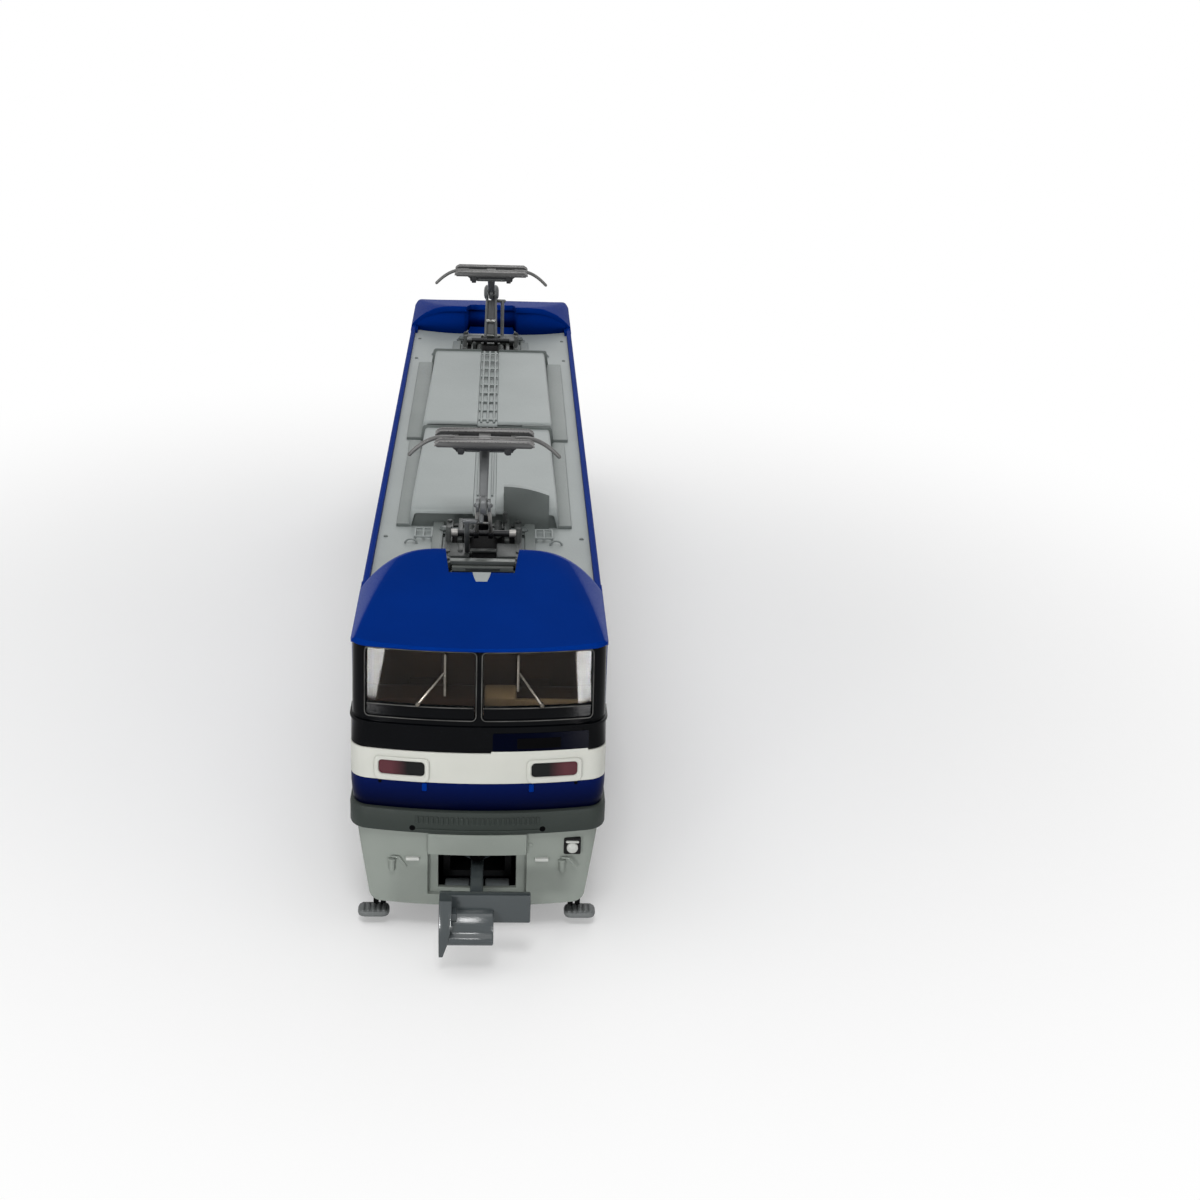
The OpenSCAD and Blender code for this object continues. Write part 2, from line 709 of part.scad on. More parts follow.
// One die-cast half of the chassis, hollowed for the motor, flywheels, worms and gear towers
module chassis_left() {
  color("darkgray") difference() {
    translate([-chassis_l, fit_gap, chassis_z])
      cube([2 * chassis_l, chassis_w - fit_gap, chassis_top - chassis_z]);
    translate([-motor_l / 2 - boss_l - 0.2, -1, chassis_z - 1])
      cube([motor_l + 2 * boss_l + 0.4, motor_w / 2 + 1 + fit_gap,
        worm_z + motor_h / 2 - chassis_z + 1 + fit_gap]);
    x_rod(-flywheel_x - flywheel_l - 1, flywheel_x + flywheel_l + 1, 0, worm_z, flywheel_d / 2 + free_gap);
    x_rod(-chassis_l - 1, chassis_l + 1, 0, worm_z, shaft_r + free_gap);
    both_ends() {
      x_rod(2 * bogie_x - shaft_end, shaft_end, 0, worm_z, worm_r + worm_throw + free_gap);
      x_rod(2 * bogie_x - shaft_end, 2 * bogie_x - shaft_end + bearing_t, 0, worm_z, bearing_r + fit_gap);
      x_rod(shaft_end - bearing_t, shaft_end, 0, worm_z, bearing_r + fit_gap);
      translate([bogie_x, 0, chassis_z - 1])
        cylinder(r = tower_swing + free_gap, h = worm_z - chassis_z + 1);
      translate([bogie_x - idler_reach, -idler_swing, chassis_z - 1])
        cube([2 * idler_reach, 2 * idler_swing, idler_z + gear_tip + free_gap - chassis_z + 1]);
    }
    screw_bores();
  }
}
module chassis_right() mirror([0, 1, 0]) chassis_left();

module screw_bores() {
  for (x = [-screw_x, screw_x]) {
    y_rod(x, -1, chassis_w + 1, screw_z, screw_r + run_gap);
    y_rod(x, chassis_w - head_l, chassis_w + 1, screw_z, screw_head + run_gap);
  }
}

module chassis_screws() {
  color("silver") both_ends() difference() {
    union() {
      y_rod(screw_x, -chassis_w + head_l / 2, chassis_w - head_l / 2, screw_z, screw_r);
      both_sides() y_rod(screw_x, chassis_w - head_l + fit_gap, chassis_w - fit_gap, screw_z, screw_head);
    }
    both_sides() translate([screw_x - 0.15, chassis_w - 0.4, screw_z - 2]) cube([0.3, 1, 4]);
  }
}

// Flat-sided motor can, open at both ends for the end bells
module motor_can() {
  color("silver") difference() {
    translate([-motor_l / 2, 0, worm_z]) along_x(motor_l) polygon(round_bar(motor_w, motor_h, can_r));
    translate([-motor_l / 2 - 1, 0, worm_z]) along_x(motor_l + 2)
      polygon(round_bar(motor_w - 2 * can_t, motor_h - 2 * can_t, can_r - can_t));
  }
}

// Plastic end bells with their shaft bearings
module motor_end_bells() {
  color("ivory") both_ends() difference() {
    union() {
      translate([motor_l / 2 - bell_t, 0, worm_z]) along_x(bell_t)
        polygon(round_bar(motor_w - 2 * (can_t + fit_gap), motor_h - 2 * (can_t + fit_gap),
          can_r - can_t - fit_gap));
      x_rod(motor_l / 2 - bell_t / 2, motor_l / 2 + boss_l, 0, worm_z, boss_r);
    }
    x_rod(0, motor_l, 0, worm_z, shaft_r + run_gap);
  }
}

// Armature and through shaft
module rotor_shaft() {
  core = motor_l / 2 - bell_t - rotor_gap;
  color("gray") {
    x_rod(-shaft_end, shaft_end, 0, worm_z, shaft_r);
    x_rod(-core, core, 0, worm_z, motor_h / 2 - can_t - rotor_gap);
  }
}

module flywheels() {
  color("goldenrod") both_ends() difference() {
    x_rod(flywheel_x, flywheel_x + flywheel_l, 0, worm_z, flywheel_d / 2);
    x_rod(flywheel_x - 1, flywheel_x + flywheel_l + 1, 0, worm_z, shaft_r);
  }
}

// Worms: a round thread made by a disc that turns off centre along the shaft
module worms() {
  color("white") for (x = [-bogie_x, bogie_x]) difference() {
    translate([x, 0, worm_z]) rotate([0, 90, 0]) rotate([0, 0, 180 + 180 * worm_l / worm_lead])
      linear_extrude(worm_l, center = true, twist = 360 * worm_l / worm_lead, slices = 42, $fn = 14)
        translate([worm_throw, 0]) circle(r = worm_r, $fn = 14);
    x_rod(x - worm_l, x + worm_l, 0, worm_z, shaft_r);
  }
}

module worm_bearings() {
  color("goldenrod") for (e = [-1, 1], s = [-1, 1])
    translate([e * bogie_x + s * (worm_l / 2 + bearing_gap + bearing_t / 2), 0, worm_z])
      rotate([0, 90, 0]) difference() {
        cylinder(r = bearing_r, h = bearing_t, center = true);
        cylinder(r = shaft_r + run_gap, h = bearing_t + 1, center = true);
      }
}

module circuit_board() {
  l = chassis_l - 2;
  color("darkgreen") {
    translate([-l, -board_half, chassis_top]) cube([2 * l, 2 * board_half, board_t]);
    both_ends() translate([l - 2, -1, chassis_top + board_t]) cube([1.6, 2, 0.5]);
  }
}

function involute(a) = tan(a) * 180 / PI - a;

// Spur gear outline in X and Z with n teeth, one of them at the angle turn
module gear_outline(n, turn) {
  rp = gear_m * n / 2;
  rb = rp * cos(20);
  ra = rp + 0.9 * gear_m;
  rf = rp - 1.2 * gear_m;
  half = 90 / n * 0.84;
  base = half + involute(20);
  tip = base - involute(acos(rb / ra));
  polygon([for (i = [0:n - 1], p = [[rf, -base], [rb, -base], [rp, -half], [ra, -tip], [ra, tip],
    [rp, half], [rb, base], [rf, base]]) let(a = turn + 360 * i / n + p[1])
      [p[0] * cos(a), p[0] * sin(a)]]);
}

// Angle of a gear of nb teeth that meshes, in the direction d, with one of na teeth at the angle a
function mesh_angle(a, na, nb, d) = d + 180 - (0.5 - (d - a) * na / 360) * 360 / nb;
function idler_dir(s) = atan2(idler_z - worm_wheel_z, s * idler_x);
function idler_turn(s) = mesh_angle(90, wheel_n, idler_n, idler_dir(s));
function axle_dir(s) = atan2(axle_z - idler_z, s * (half_base - idler_x));
function axle_turn(s) = mesh_angle(idler_turn(s), idler_n, idler_n, axle_dir(s));

// Gear on its own pin, which runs in the two side plates
module pinned_gear(x, z, w, n, turn) {
  translate([x, 0, z]) along_y(w) gear_outline(n, turn);
  y_rod(x, -box_y + 0.2, box_y - 0.2, z, pin_r);
}

module worm_wheel_front() color("ivory") pinned_gear(bogie_x, worm_wheel_z, worm_wheel_w, wheel_n, 90);
module worm_wheel_rear() color("ivory") pinned_gear(-bogie_x, worm_wheel_z, worm_wheel_w, wheel_n, 90);
module idler(x, s) color("ivory") pinned_gear(x + s * idler_x, idler_z, gear_w, idler_n, idler_turn(s));
module idler_1() idler(bogie_x, 1);
module idler_2() idler(bogie_x, -1);
module idler_3() idler(-bogie_x, 1);
module idler_4() idler(-bogie_x, -1);

// Wheel turned about Y, with a dished face, at the +Y end of its axle
module wheel() {
  back = back_to_back / 2;
  r = tread_d / 2;
  translate([0, 0, axle_z]) rotate([-90, 0, 0]) rotate_extrude() polygon([[0, back], [r + flange_h, back],
    [r + flange_h, back + flange_t * 0.4], [r + 0.08, back + flange_t], [r, back + flange_t + 0.2],
    [r - 0.06, back + wheel_w], [r - 0.75, back + wheel_w], [r - 0.95, back + wheel_w - 0.5],
    [axle_r + 0.8, back + wheel_w - 0.35], [axle_r + 0.6, back + wheel_w], [0, back + wheel_w]]);
}

// Wheelset on the axle at x, with a gear whose first tooth is at the angle turn, or with none
module wheelset(x, half_l, end_r, turn) {
  color("dimgray") translate([x, 0, 0]) {
    both_sides() wheel();
    y_rod(0, -back_to_back / 2 - 1, back_to_back / 2 + 1, axle_z, axle_r);
    y_rod(0, -half_l, half_l, axle_z, end_r);
    if (is_num(turn)) translate([0, 0, axle_z]) along_y(gear_w) gear_outline(idler_n, turn);
  }
}

module wheelset_1() wheelset(bogie_x + half_base, stub_l, trunnion_r, axle_turn(1));
module wheelset_2() wheelset(bogie_x - half_base, stub_l, trunnion_r, axle_turn(-1));
module wheelset_3() wheelset(half_base, trunnion_l, trunnion_r, undef);
module wheelset_4() wheelset(-half_base, trunnion_l, trunnion_r, undef);
module wheelset_5() wheelset(-bogie_x + half_base, stub_l, trunnion_r, axle_turn(1));
module wheelset_6() wheelset(-bogie_x - half_base, stub_l, trunnion_r, axle_turn(-1));

// Moulded spring relief: a post with ribs
module spring_relief(x, y) {
  for (i = [0:spring_n - 1]) translate([x, y, axle_z - 0.2 + i * spring_pitch])
    cylinder(r = i % 2 == 0 ? spring_r : spring_core, h = spring_pitch, $fn = 24);
}

// Side frames of a bogie about its centre, with axle boxes and spring relief
module bogie_sides(bored) {
  a = half_base;
  e = beam_x + beam_t;
  z = axle_z;
  y = side_y;
  both_sides() {
    difference() {
      union() {
        translate([0, y + side_t / 2, 0]) along_y(side_t) polygon([[-e, z + 1.3], [-e, z + 2.4],
          [-a - 2, z + 3], [a + 2, z + 3], [e, z + 2.4], [e, z + 1.3], [a + 3, z - 0.3],
          [a + 1.7, z - 1.4], [a - 1.7, z - 1.4], [a - 3, z - 0.3], [3.4, z - 0.6], [-3.4, z - 0.6],
          [3 - a, z - 0.3], [1.7 - a, z - 1.4], [-a - 1.7, z - 1.4], [-a - 3, z - 0.3]]);
        for (s = [-1, 1]) {
          y_rod(s * a, y, y + side_t + 0.5, z, axle_box_r);
          y_rod(s * a, y, y + side_t + 0.7, z, 0.8);
          spring_relief(s * a - spring_off, y + side_t + 0.1);
          spring_relief(s * a + spring_off, y + side_t + 0.1);
        }
        x_rod(-2.2, 2.2, y + side_t + 0.2, z + 1.2, 0.6);
        for (s = [-1, 1]) translate([s * 4.1 - 0.5, y, z - 0.4]) cube([1, side_t + 0.4, 2.6]);
      }
      if (bored) for (s = [-1, 1]) y_rod(s * a, y - 1, trunnion_l + 0.15, z, trunnion_r + run_gap);
    }
  }
}

// Frame of an end bogie: two sides on end beams that hold the gearbox
module bogie_frame_front() {
  color("dimgray") translate([bogie_x, 0, 0]) {
    bogie_sides(false);
    for (s = [-1, 1]) translate([s * (beam_x + beam_t / 2), 0, axle_z + 1.85])
      cube([beam_t, 2 * side_y + 0.4, 1.1], center = true);
  }
}
module bogie_frame_rear() rear() bogie_frame_front();

// Middle bogie: a bolster between the sides and a pad that bears on the chassis
module bogie_frame_middle() {
  color("dimgray") {
    bogie_sides(true);
    translate([-2.6, -side_y - 0.2, axle_z + 0.6]) cube([5.2, 2 * side_y + 0.4, 2]);
    translate([0, 0, axle_z + 1]) cylinder(r = 2.2, h = chassis_z - axle_z - 1 - 0.2);
  }
}

// Gearbox: two bored side plates with end walls, a tower for the worm wheel and a bolster ring
module gearbox_front() {
  color("dimgray") translate([bogie_x, 0, 0]) difference() {
    union() {
      translate([-gearbox_l, -box_y, gearbox_z]) cube([2 * gearbox_l, 2 * box_y, gearbox_top - gearbox_z]);
      translate([-tower_l, -box_y, gearbox_z]) cube([2 * tower_l, 2 * box_y, tower_top - gearbox_z]);
      intersection() {
        translate([0, 0, gearbox_top - 1]) cylinder(r = bolster_r, h = chassis_z - 0.2 - gearbox_top + 1);
        translate([-bolster_r, -box_y - 0.9, 0]) cube([2 * bolster_r, 2 * box_y + 1.8, big]);
      }
    }
    translate([-gearbox_l + 0.8, -slot_w, gearbox_z - 1])
      cube([2 * gearbox_l - 1.6, 2 * slot_w, gearbox_top - 0.1 - gearbox_z + 1]);
    translate([-tower_l - 4, -slot_w, gearbox_z - 1]) cube([2 * tower_l + 8, 2 * slot_w, big]);
    for (s = [-1, 1]) {
      y_rod(s * half_base, -box_y - 1, box_y + 1, axle_z, axle_r + run_gap);
      y_rod(s * idler_x, -box_y - 1, box_y + 1, idler_z, pin_r + run_gap);
    }
    y_rod(0, -box_y - 1, box_y + 1, worm_wheel_z, pin_r + run_gap);
  }
}
module gearbox_rear() rear() gearbox_front();

// Clip-on cover under the gearbox
module keeper_plate_front() {
  color("dimgray") translate([bogie_x, 0, 0]) {
    translate([-gearbox_l, -box_y, gearbox_z - keeper_t]) cube([2 * gearbox_l, 2 * box_y, keeper_t]);
    for (s = [-1, 1]) translate([s * (gearbox_l - 1.6) - 0.4, fit_gap - slot_w, gearbox_z - 0.1])
      cube([0.8, 2 * (slot_w - fit_gap), 0.7]);
  }
}
module keeper_plate_rear() rear() keeper_plate_front();

// Base frame on four ribbed insulators, with lugs for the main shaft and the control rod
module pantograph_base_front() {
  x0 = shaft_x - base_back;
  x1 = x0 + base_l;
  y = base_w - 0.6;
  color("darkslategray") {
    difference() {
      union() {
        both_sides() {
          translate([x0, y, foot_z]) cube([base_l, 0.6, beam_h]);
          translate([0, y + 0.1, 0]) along_y(0.4) polygon([[shaft_x - 0.9, foot_z],
            [shaft_x - 0.45, shaft_z + 0.3], [shaft_x + 0.45, shaft_z + 0.3], [shaft_x + 0.9, foot_z]]);
        }
        for (x = [x0, rod_x - 1.6, x1 - 0.7]) translate([x, -y - 0.1, foot_z])
          cube([0.7, 2 * y + 0.2, 0.22]);
        translate([rod_x - 1.6, -rod_y - 0.75, foot_z]) cube([2, 0.4, rod_z + 0.35 - foot_z]);
      }
      y_rod(shaft_x, -base_w - 1, base_w + 1, shaft_z, arm_r + run_gap);
    }
    y_rod(rod_x, -rod_y - 0.75, 0.25 - rod_y, rod_z, arm_pin_r);
    for (x = [x0 + 1, x1 - 1], s = [-1, 1])
      translate([x, s * (base_w + 0.1), deck_z]) rotate_extrude() polygon([[0, 0], [0.75, 0], [0.75, 0.15],
        [0.5, 0.2], [0.7, 0.32], [0.5, 0.44], [0.5, 0.8], [0, 0.8]]);
  }
}

module bar(a, b, r) hull() {
  translate(a) sphere(r = r, $fn = 16);
  translate(b) sphere(r = r, $fn = 16);
}

// Lower arm: main shaft, two legs that meet at the knee, and the knee pin
module pantograph_lower_arm_front() {
  tie = 0.4;
  color("gray") {
    y_rod(shaft_x, -base_w - 0.1, base_w + 0.1, shaft_z, arm_r);
    both_sides() {
      bar([shaft_x, leg_y, shaft_z], [knee_x, fork_y + eye_w / 2, knee_z], 0.22);
      y_rod(knee_x, fork_y, fork_y + eye_w, knee_z, 0.6);
    }
    y_rod(knee_x, -fork_y - 0.1, fork_y + 0.1, knee_z, arm_pin_r);
    y_rod(shaft_x + (knee_x - shaft_x) * tie, -leg_y, leg_y, shaft_z + (knee_z - shaft_z) * tie, 0.17);
  }
}

// Upper arm: flat bar from the knee to the cross tube, with a tail lever at the knee
module pantograph_upper_arm_front() {
  color("silver") difference() {
    union() {
      translate([knee_x, 0, knee_z]) rotate([0, upper_a - 180, 0]) translate([0, 0, -0.22])
        linear_extrude(0.44) polygon([[0, -0.39], [upper_l, -0.52], [upper_l, 0.52], [0, 0.39]]);
      y_rod(knee_x, eye_gap - fork_y, fork_y - eye_gap, knee_z, 0.8);
      y_rod(head_x, -1.5, 1.5, head_z, arm_r);
      y_rod(head_x, -2.1, 2.1, head_z, arm_pin_r);
      translate([knee_x, 0, knee_z]) rotate([0, -tail_a, 0]) translate([0, -0.39, -0.2])
        cube([tail_l, 0.5, 0.4]);
    }
    y_rod(knee_x, -2, 2, knee_z, arm_pin_r + run_gap);
  }
}

// Control rod from its own base pin to beside the upper arm's tail
module pantograph_rod_front() {
  end_x = knee_x + tail_l * cos(tail_a);
  end_z = knee_z + tail_l * sin(tail_a);
  color("gray") difference() {
    union() {
      bar([rod_x, -rod_y, rod_z], [end_x, -rod_y, end_z], rod_r);
      y_rod(rod_x, -rod_y - 0.2, 0.2 - rod_y, rod_z, 0.45);
      y_rod(end_x, -rod_y - 0.2, 0.75 - rod_y, end_z, 0.2);
    }
    y_rod(rod_x, -rod_y - 1, 1 - rod_y, rod_z, arm_pin_r + run_gap);
  }
}

// Head: two contact strips on cheek plates, and between them one horn tube turned down at its ends
module pantograph_head_front() {
  z = head_z + 0.75;
  h = 0.36;
  under = 0.16;
  edge = strip_l / 2;
  bend_y = 3.3;
  run = horn_span / 2 - bend_y;
  turn = (run ^ 2 + horn_drop ^ 2) / (2 * horn_drop);
  sweep = asin(run / turn);
  horn_r = 0.18;
  horn_z = z + 0.12;
  color("rosybrown") {
    for (s = [-1, 1]) translate([head_x + s * strip_gap / 2 - strip_w / 2, 0, 0]) along_x(strip_w)
      polygon([[edge, z], [edge - 0.4, z + h], [0.4 - edge, z + h], [-edge, z], [0.2 - edge, z - under],
        [edge - 0.2, z - under]]);
    y_rod(head_x, -bend_y - 0.1, bend_y + 0.1, horn_z, horn_r);
    both_sides() translate([head_x, bend_y, horn_z - turn]) rotate([90, 0, 90]) rotate([0, 0, 90 - sweep])
      rotate_extrude(angle = sweep) translate([turn, 0]) circle(r = horn_r, $fn = 12);
    translate([head_x - strip_gap / 2, -0.5, z - 0.1]) cube([strip_gap, 1, 0.32]);
    both_sides() translate([head_x - strip_gap / 2, 2.17, z - 0.12]) cube([strip_gap, 0.36, 0.24]);
    difference() {
      both_sides() translate([0, 1.95, 0]) along_y(0.5) polygon([[head_x - 0.5, head_z - 0.4],
        [head_x + 0.5, head_z - 0.4], [head_x + strip_gap / 2 + 0.25, z - 0.1],
        [head_x - strip_gap / 2 - 0.25, z - 0.1]]);
      y_rod(head_x, -3, 3, head_z, arm_pin_r + run_gap);
    }
  }
}

module pantograph_base_rear() rear() pantograph_base_front();
module pantograph_lower_arm_rear() rear() pantograph_lower_arm_front();
module pantograph_upper_arm_rear() rear() pantograph_upper_arm_front();
module pantograph_rod_rear() rear() pantograph_rod_front();
module pantograph_head_rear() rear() pantograph_head_front();

body_shell();
roof_deck();
roof_busbar();
windscreen_front();
windscreen_rear();
side_windows();
cab_interior_front();
cab_interior_rear();
headlamp_lenses();
light_guides();
underframe();
skirt_front();
skirt_rear();
shunter_steps();
jumper_sockets();
coupler_pocket_front();
coupler_pocket_rear();
coupler_front();
coupler_rear();
chassis_left();
chassis_right();
chassis_screws();
motor_can();
motor_end_bells();
rotor_shaft();
flywheels();
worms();
worm_bearings();
circuit_board();
bogie_frame_front();
bogie_frame_middle();
bogie_frame_rear();
gearbox_front();
gearbox_rear();
keeper_plate_front();
keeper_plate_rear();
worm_wheel_front();
worm_wheel_rear();
idler_1();
idler_2();
idler_3();
idler_4();
wheelset_1();
wheelset_2();
wheelset_3();
wheelset_4();
wheelset_5();
wheelset_6();
pantograph_base_front();
pantograph_lower_arm_front();
pantograph_upper_arm_front();
pantograph_rod_front();
pantograph_head_front();
pantograph_base_rear();
pantograph_lower_arm_rear();
pantograph_upper_arm_rear();
pantograph_rod_rear();
pantograph_head_rear();
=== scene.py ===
# %% [markdown]
# # A model electric locomotive, dressed in Blender
# The solids of the locomotive come in as a fixed frame, so every size and every joint is already there.
# This lesson gives each visible piece its finished surface. New surfaces are worked out with numpy, as
# whole grids of points, and each of them is put where the frame says.

# %% Load the frame
import json
import math

import bmesh
import bpy
import numpy as np
from mathutils import Matrix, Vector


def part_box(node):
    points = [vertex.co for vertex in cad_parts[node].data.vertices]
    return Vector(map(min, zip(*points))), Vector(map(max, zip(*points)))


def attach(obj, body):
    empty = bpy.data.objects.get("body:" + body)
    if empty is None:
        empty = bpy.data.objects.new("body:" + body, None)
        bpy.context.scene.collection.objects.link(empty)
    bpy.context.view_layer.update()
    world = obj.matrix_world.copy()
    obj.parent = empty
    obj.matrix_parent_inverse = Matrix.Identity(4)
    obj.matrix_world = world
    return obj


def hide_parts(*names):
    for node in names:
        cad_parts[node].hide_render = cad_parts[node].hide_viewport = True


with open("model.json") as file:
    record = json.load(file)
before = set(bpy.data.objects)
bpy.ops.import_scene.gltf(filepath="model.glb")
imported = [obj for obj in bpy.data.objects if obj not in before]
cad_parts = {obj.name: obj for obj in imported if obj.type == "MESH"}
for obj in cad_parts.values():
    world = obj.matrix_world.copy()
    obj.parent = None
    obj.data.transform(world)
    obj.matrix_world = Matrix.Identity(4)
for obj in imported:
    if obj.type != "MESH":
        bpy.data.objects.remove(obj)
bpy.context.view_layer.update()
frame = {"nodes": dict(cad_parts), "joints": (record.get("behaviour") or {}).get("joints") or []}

MM = 0.001

# %% [markdown]
# ## Camera
# The camera stands in front of the nose, a little above the roof. Its place and its three turns were
# fitted to the body's corners, so that the drawing of the nose falls where it should.
# A long lens keeps the far end of the roof from shrinking too much.

# %% Camera
CAMERA_PLACE = (188.737, 1.298, 79.043)
CAMERA_YAW, CAMERA_PITCH, CAMERA_ROLL = np.radians((3.162, 21.368, 1.982))
CAMERA_LENS = 59.364


def camera_turn(yaw, pitch, roll):
    """Columns right, up and back: forward goes to -X, turned by yaw and down by pitch, then rolled."""
    level = math.cos(pitch)
    forward = np.array([-math.cos(yaw) * level, math.sin(yaw) * level, -math.sin(pitch)])
    right = np.array([math.sin(yaw), math.cos(yaw), 0.0])
    up = np.cross(right, forward)
    rolled_right = right * math.cos(roll) + up * math.sin(roll)
    rolled_up = up * math.cos(roll) - right * math.sin(roll)
    return np.stack([rolled_right, rolled_up, -forward], 1)


scene = bpy.context.scene


def put(thing, turn, place):
    """Links an object into the scene, turned by a matrix and at a place in millimetres."""
    matrix = np.eye(4)
    matrix[:3, :3] = turn
    matrix[:3, 3] = np.array(place) * MM
    thing.matrix_world = Matrix(matrix.tolist())
    scene.collection.objects.link(thing)


camera_data = bpy.data.cameras.new("camera")
camera_data.lens = CAMERA_LENS
camera_data.sensor_width = 36
camera_data.clip_start = 0.01
camera = bpy.data.objects.new("camera", camera_data)
put(camera, camera_turn(CAMERA_YAW, CAMERA_PITCH, CAMERA_ROLL), CAMERA_PLACE)
scene.camera = camera
print("camera lens:", camera_data.lens)

# %% [markdown]
# ## Finishes
# A moulded and painted model is never one flat colour. Each finish has slow noise that shades its colour,
# and fine noise that roughens it and raises a grain of about a tenth of a millimetre.
# Colours are written as they look on a screen and turned into light values by a function.

# %% Colour and node helpers
def seen(*rgb):
    """Light values of a colour that looks like rgb, 0 to 255, on a screen."""
    c = np.array(rgb) / 255
    light = np.where(c <= 0.04045, c / 12.92, ((c + 0.055) / 1.055) ** 2.4)
    return (*light.tolist(), 1.0)


def fill(tree, node, **values):
    """Sets a node's inputs by name: a number or colour is written in, another node's output is linked."""
    for label, value in values.items():
        socket = node.inputs[label.replace("_", " ")]
        if isinstance(value, bpy.types.NodeSocket):
            tree.links.new(value, socket)
        else:
            socket.default_value = value
    return node


def add_node(tree, kind, **values):
    """A new shader node with its inputs set."""
    return fill(tree, tree.nodes.new("ShaderNode" + kind), **values)


def shader_of(made):
    """A finish's node tree and its main shader."""
    return made.node_tree, made.node_tree.nodes["Principled BSDF"]


def object_place(tree):
    """Where a point lies on its own object."""
    return add_node(tree, "TexCoord").outputs["Object"]


def noise(tree, place, size_mm, detail):
    """Noise whose blobs measure about size_mm."""
    return add_node(tree, "TexNoise", Vector=place, Scale=1 / (size_mm * MM), Detail=detail).outputs["Fac"]


def ramp(tree, factor, dark, light, low=0.32, high=0.68):
    """Colours from dark to light as the factor goes from low to high."""
    made = add_node(tree, "ValToRGB", Fac=factor)
    for stop, place, colour in zip(made.color_ramp.elements, (low, high), (dark, light)):
        stop.position = place
        stop.color = colour
    return made.outputs["Color"]


def span(tree, value, start, end, low=0.0, high=1.0):
    """Carries a value's stretch from start to end over to low and high."""
    made = add_node(tree, "MapRange", Value=value, From_Min=start, From_Max=end, To_Min=low, To_Max=high)
    return made.outputs["Result"]


def arithmetic(tree, operation, *values):
    """One step of arithmetic on one or two values."""
    made = add_node(tree, "Math")
    made.operation = operation
    for socket, value in zip(made.inputs, values):
        tree.links.new(value, socket)
    return made.outputs[0]


# %% Kinds of finish
BUMP = 0.35
COAT_ROUGH = 0.06


def finish(name, colour, rough, metal=0.0, coat=0.0, shine=0.3, vary=0.1, patch=6.0, grain=0.12,
           raise_mm=0.012, stretch=(1, 1, 1), spread=0.07):
    """Slow noise shades the colour by vary; fine noise of grain millimetres moves roughness and height."""
    made = bpy.data.materials.new(name)
    made.use_nodes = True
    tree, shader = shader_of(made)
    turn = add_node(tree, "Mapping", Vector=object_place(tree), Scale=stretch).outputs["Vector"]
    slow = noise(tree, turn, patch, 4)
    fine = noise(tree, turn, grain, 2)
    dark, light = [(*[min(1, c * share) for c in colour[:3]], 1) for share in (1 - vary, 1 + vary)]
    bump = add_node(tree, "Bump", Strength=BUMP, Distance=raise_mm * MM, Height=fine)
    fill(tree, shader, Metallic=metal, Specular_IOR_Level=shine, Coat_Weight=coat,
         Coat_Roughness=COAT_ROUGH, Base_Color=ramp(tree, slow, dark, light), Normal=bump.outputs["Normal"],
         Roughness=span(tree, fine, 0.3, 0.7, max(0.02, rough - spread), rough + spread))
    return made


def clear_finish(name, colour, rough, ior=1.49):
    """A clear moulding: light passes, and fine noise blurs it a little where fingers have been."""
    made = finish(name, colour, rough, shine=0.5, vary=0.05, raise_mm=0.001, spread=0.02)
    fill(*shader_of(made), Transmission_Weight=1.0, IOR=ior)
    return made


def graded_finish(name, first, second, axis, start, end, rough, shine):
    """A finish whose colour goes from first to second between two distances along an axis, in mm."""
    made = finish(name, first, rough, shine=shine, vary=0.2, patch=0.5, spread=0.04)
    tree, shader = shader_of(made)
    along = add_node(tree, "SeparateXYZ", Vector=object_place(tree)).outputs[axis]
    share = span(tree, arithmetic(tree, "ABSOLUTE", along), start * MM, end * MM)
    fill(tree, shader, Base_Color=ramp(tree, share, first, second, 0.0, 1.0))
    return made


def edge_shine(made, low, high, start, end):
    """Gloss that rises from low to high as the surface turns away from the eye, as a waxed coat does."""
    tree, shader = shader_of(made)
    facing = add_node(tree, "LayerWeight").outputs["Facing"]
    fill(tree, shader, Specular_IOR_Level=span(tree, facing, start, end, low, high))


# %% Finishes of the locomotive
BLUE = finish("blue_paint", seen(1, 40, 120), 0.4, shine=0.004, vary=0.06, raise_mm=0.006)
HOOD_BLUE = finish("hood_blue_paint", seen(1, 42, 122), 0.55, vary=0.06, raise_mm=0.006)
edge_shine(HOOD_BLUE, 0.004, 0.3, 0.68, 0.95)
# The lower band is the body's blue painted darker, and darker still towards the sill: painted shade.
SHADED_BAND_BLUE = graded_finish("lower_band_blue_painted_shade", seen(0, 2, 22), seen(2, 16, 66), "Z", 10.7, 12.8, 0.34, 0.03)
WHITE = finish("white_stripe_paint", seen(188, 189, 182), 0.4, shine=0.2, vary=0.03, raise_mm=0.006)
GLOSS_BLACK = finish("gloss_black_mask", seen(5, 6, 8), 0.1, shine=0.06, vary=0.25, raise_mm=0.002,
                     spread=0.04)
PLATE_BLUE = finish("dark_blue_plate", seen(0, 2, 16), 0.2, shine=0.02, vary=0.2, raise_mm=0.003,
                    spread=0.04)
GLASS = clear_finish("windscreen_glass", seen(214, 208, 200), 0.02, 1.2)
SMOKE_GLASS = clear_finish("side_window_glass", seen(150, 152, 150), 0.04)
ACRYLIC = clear_finish("clear_light_guide", seen(236, 238, 232), 0.08)
LENS = graded_finish("lamp_lens", seen(16, 18, 18), seen(80, 42, 48), "Y", 5.2, 6.4, 0.14, 0.15)
SILL_GREY = finish("sill_grey", seen(43, 49, 46), 0.55, shine=0.2, vary=0.07)
SKIRT_GREY = finish("skirt_grey", seen(128, 134, 128), 0.5, shine=0.2, vary=0.04)
STEP_GREY = finish("step_grey", seen(98, 101, 101), 0.55, vary=0.08)
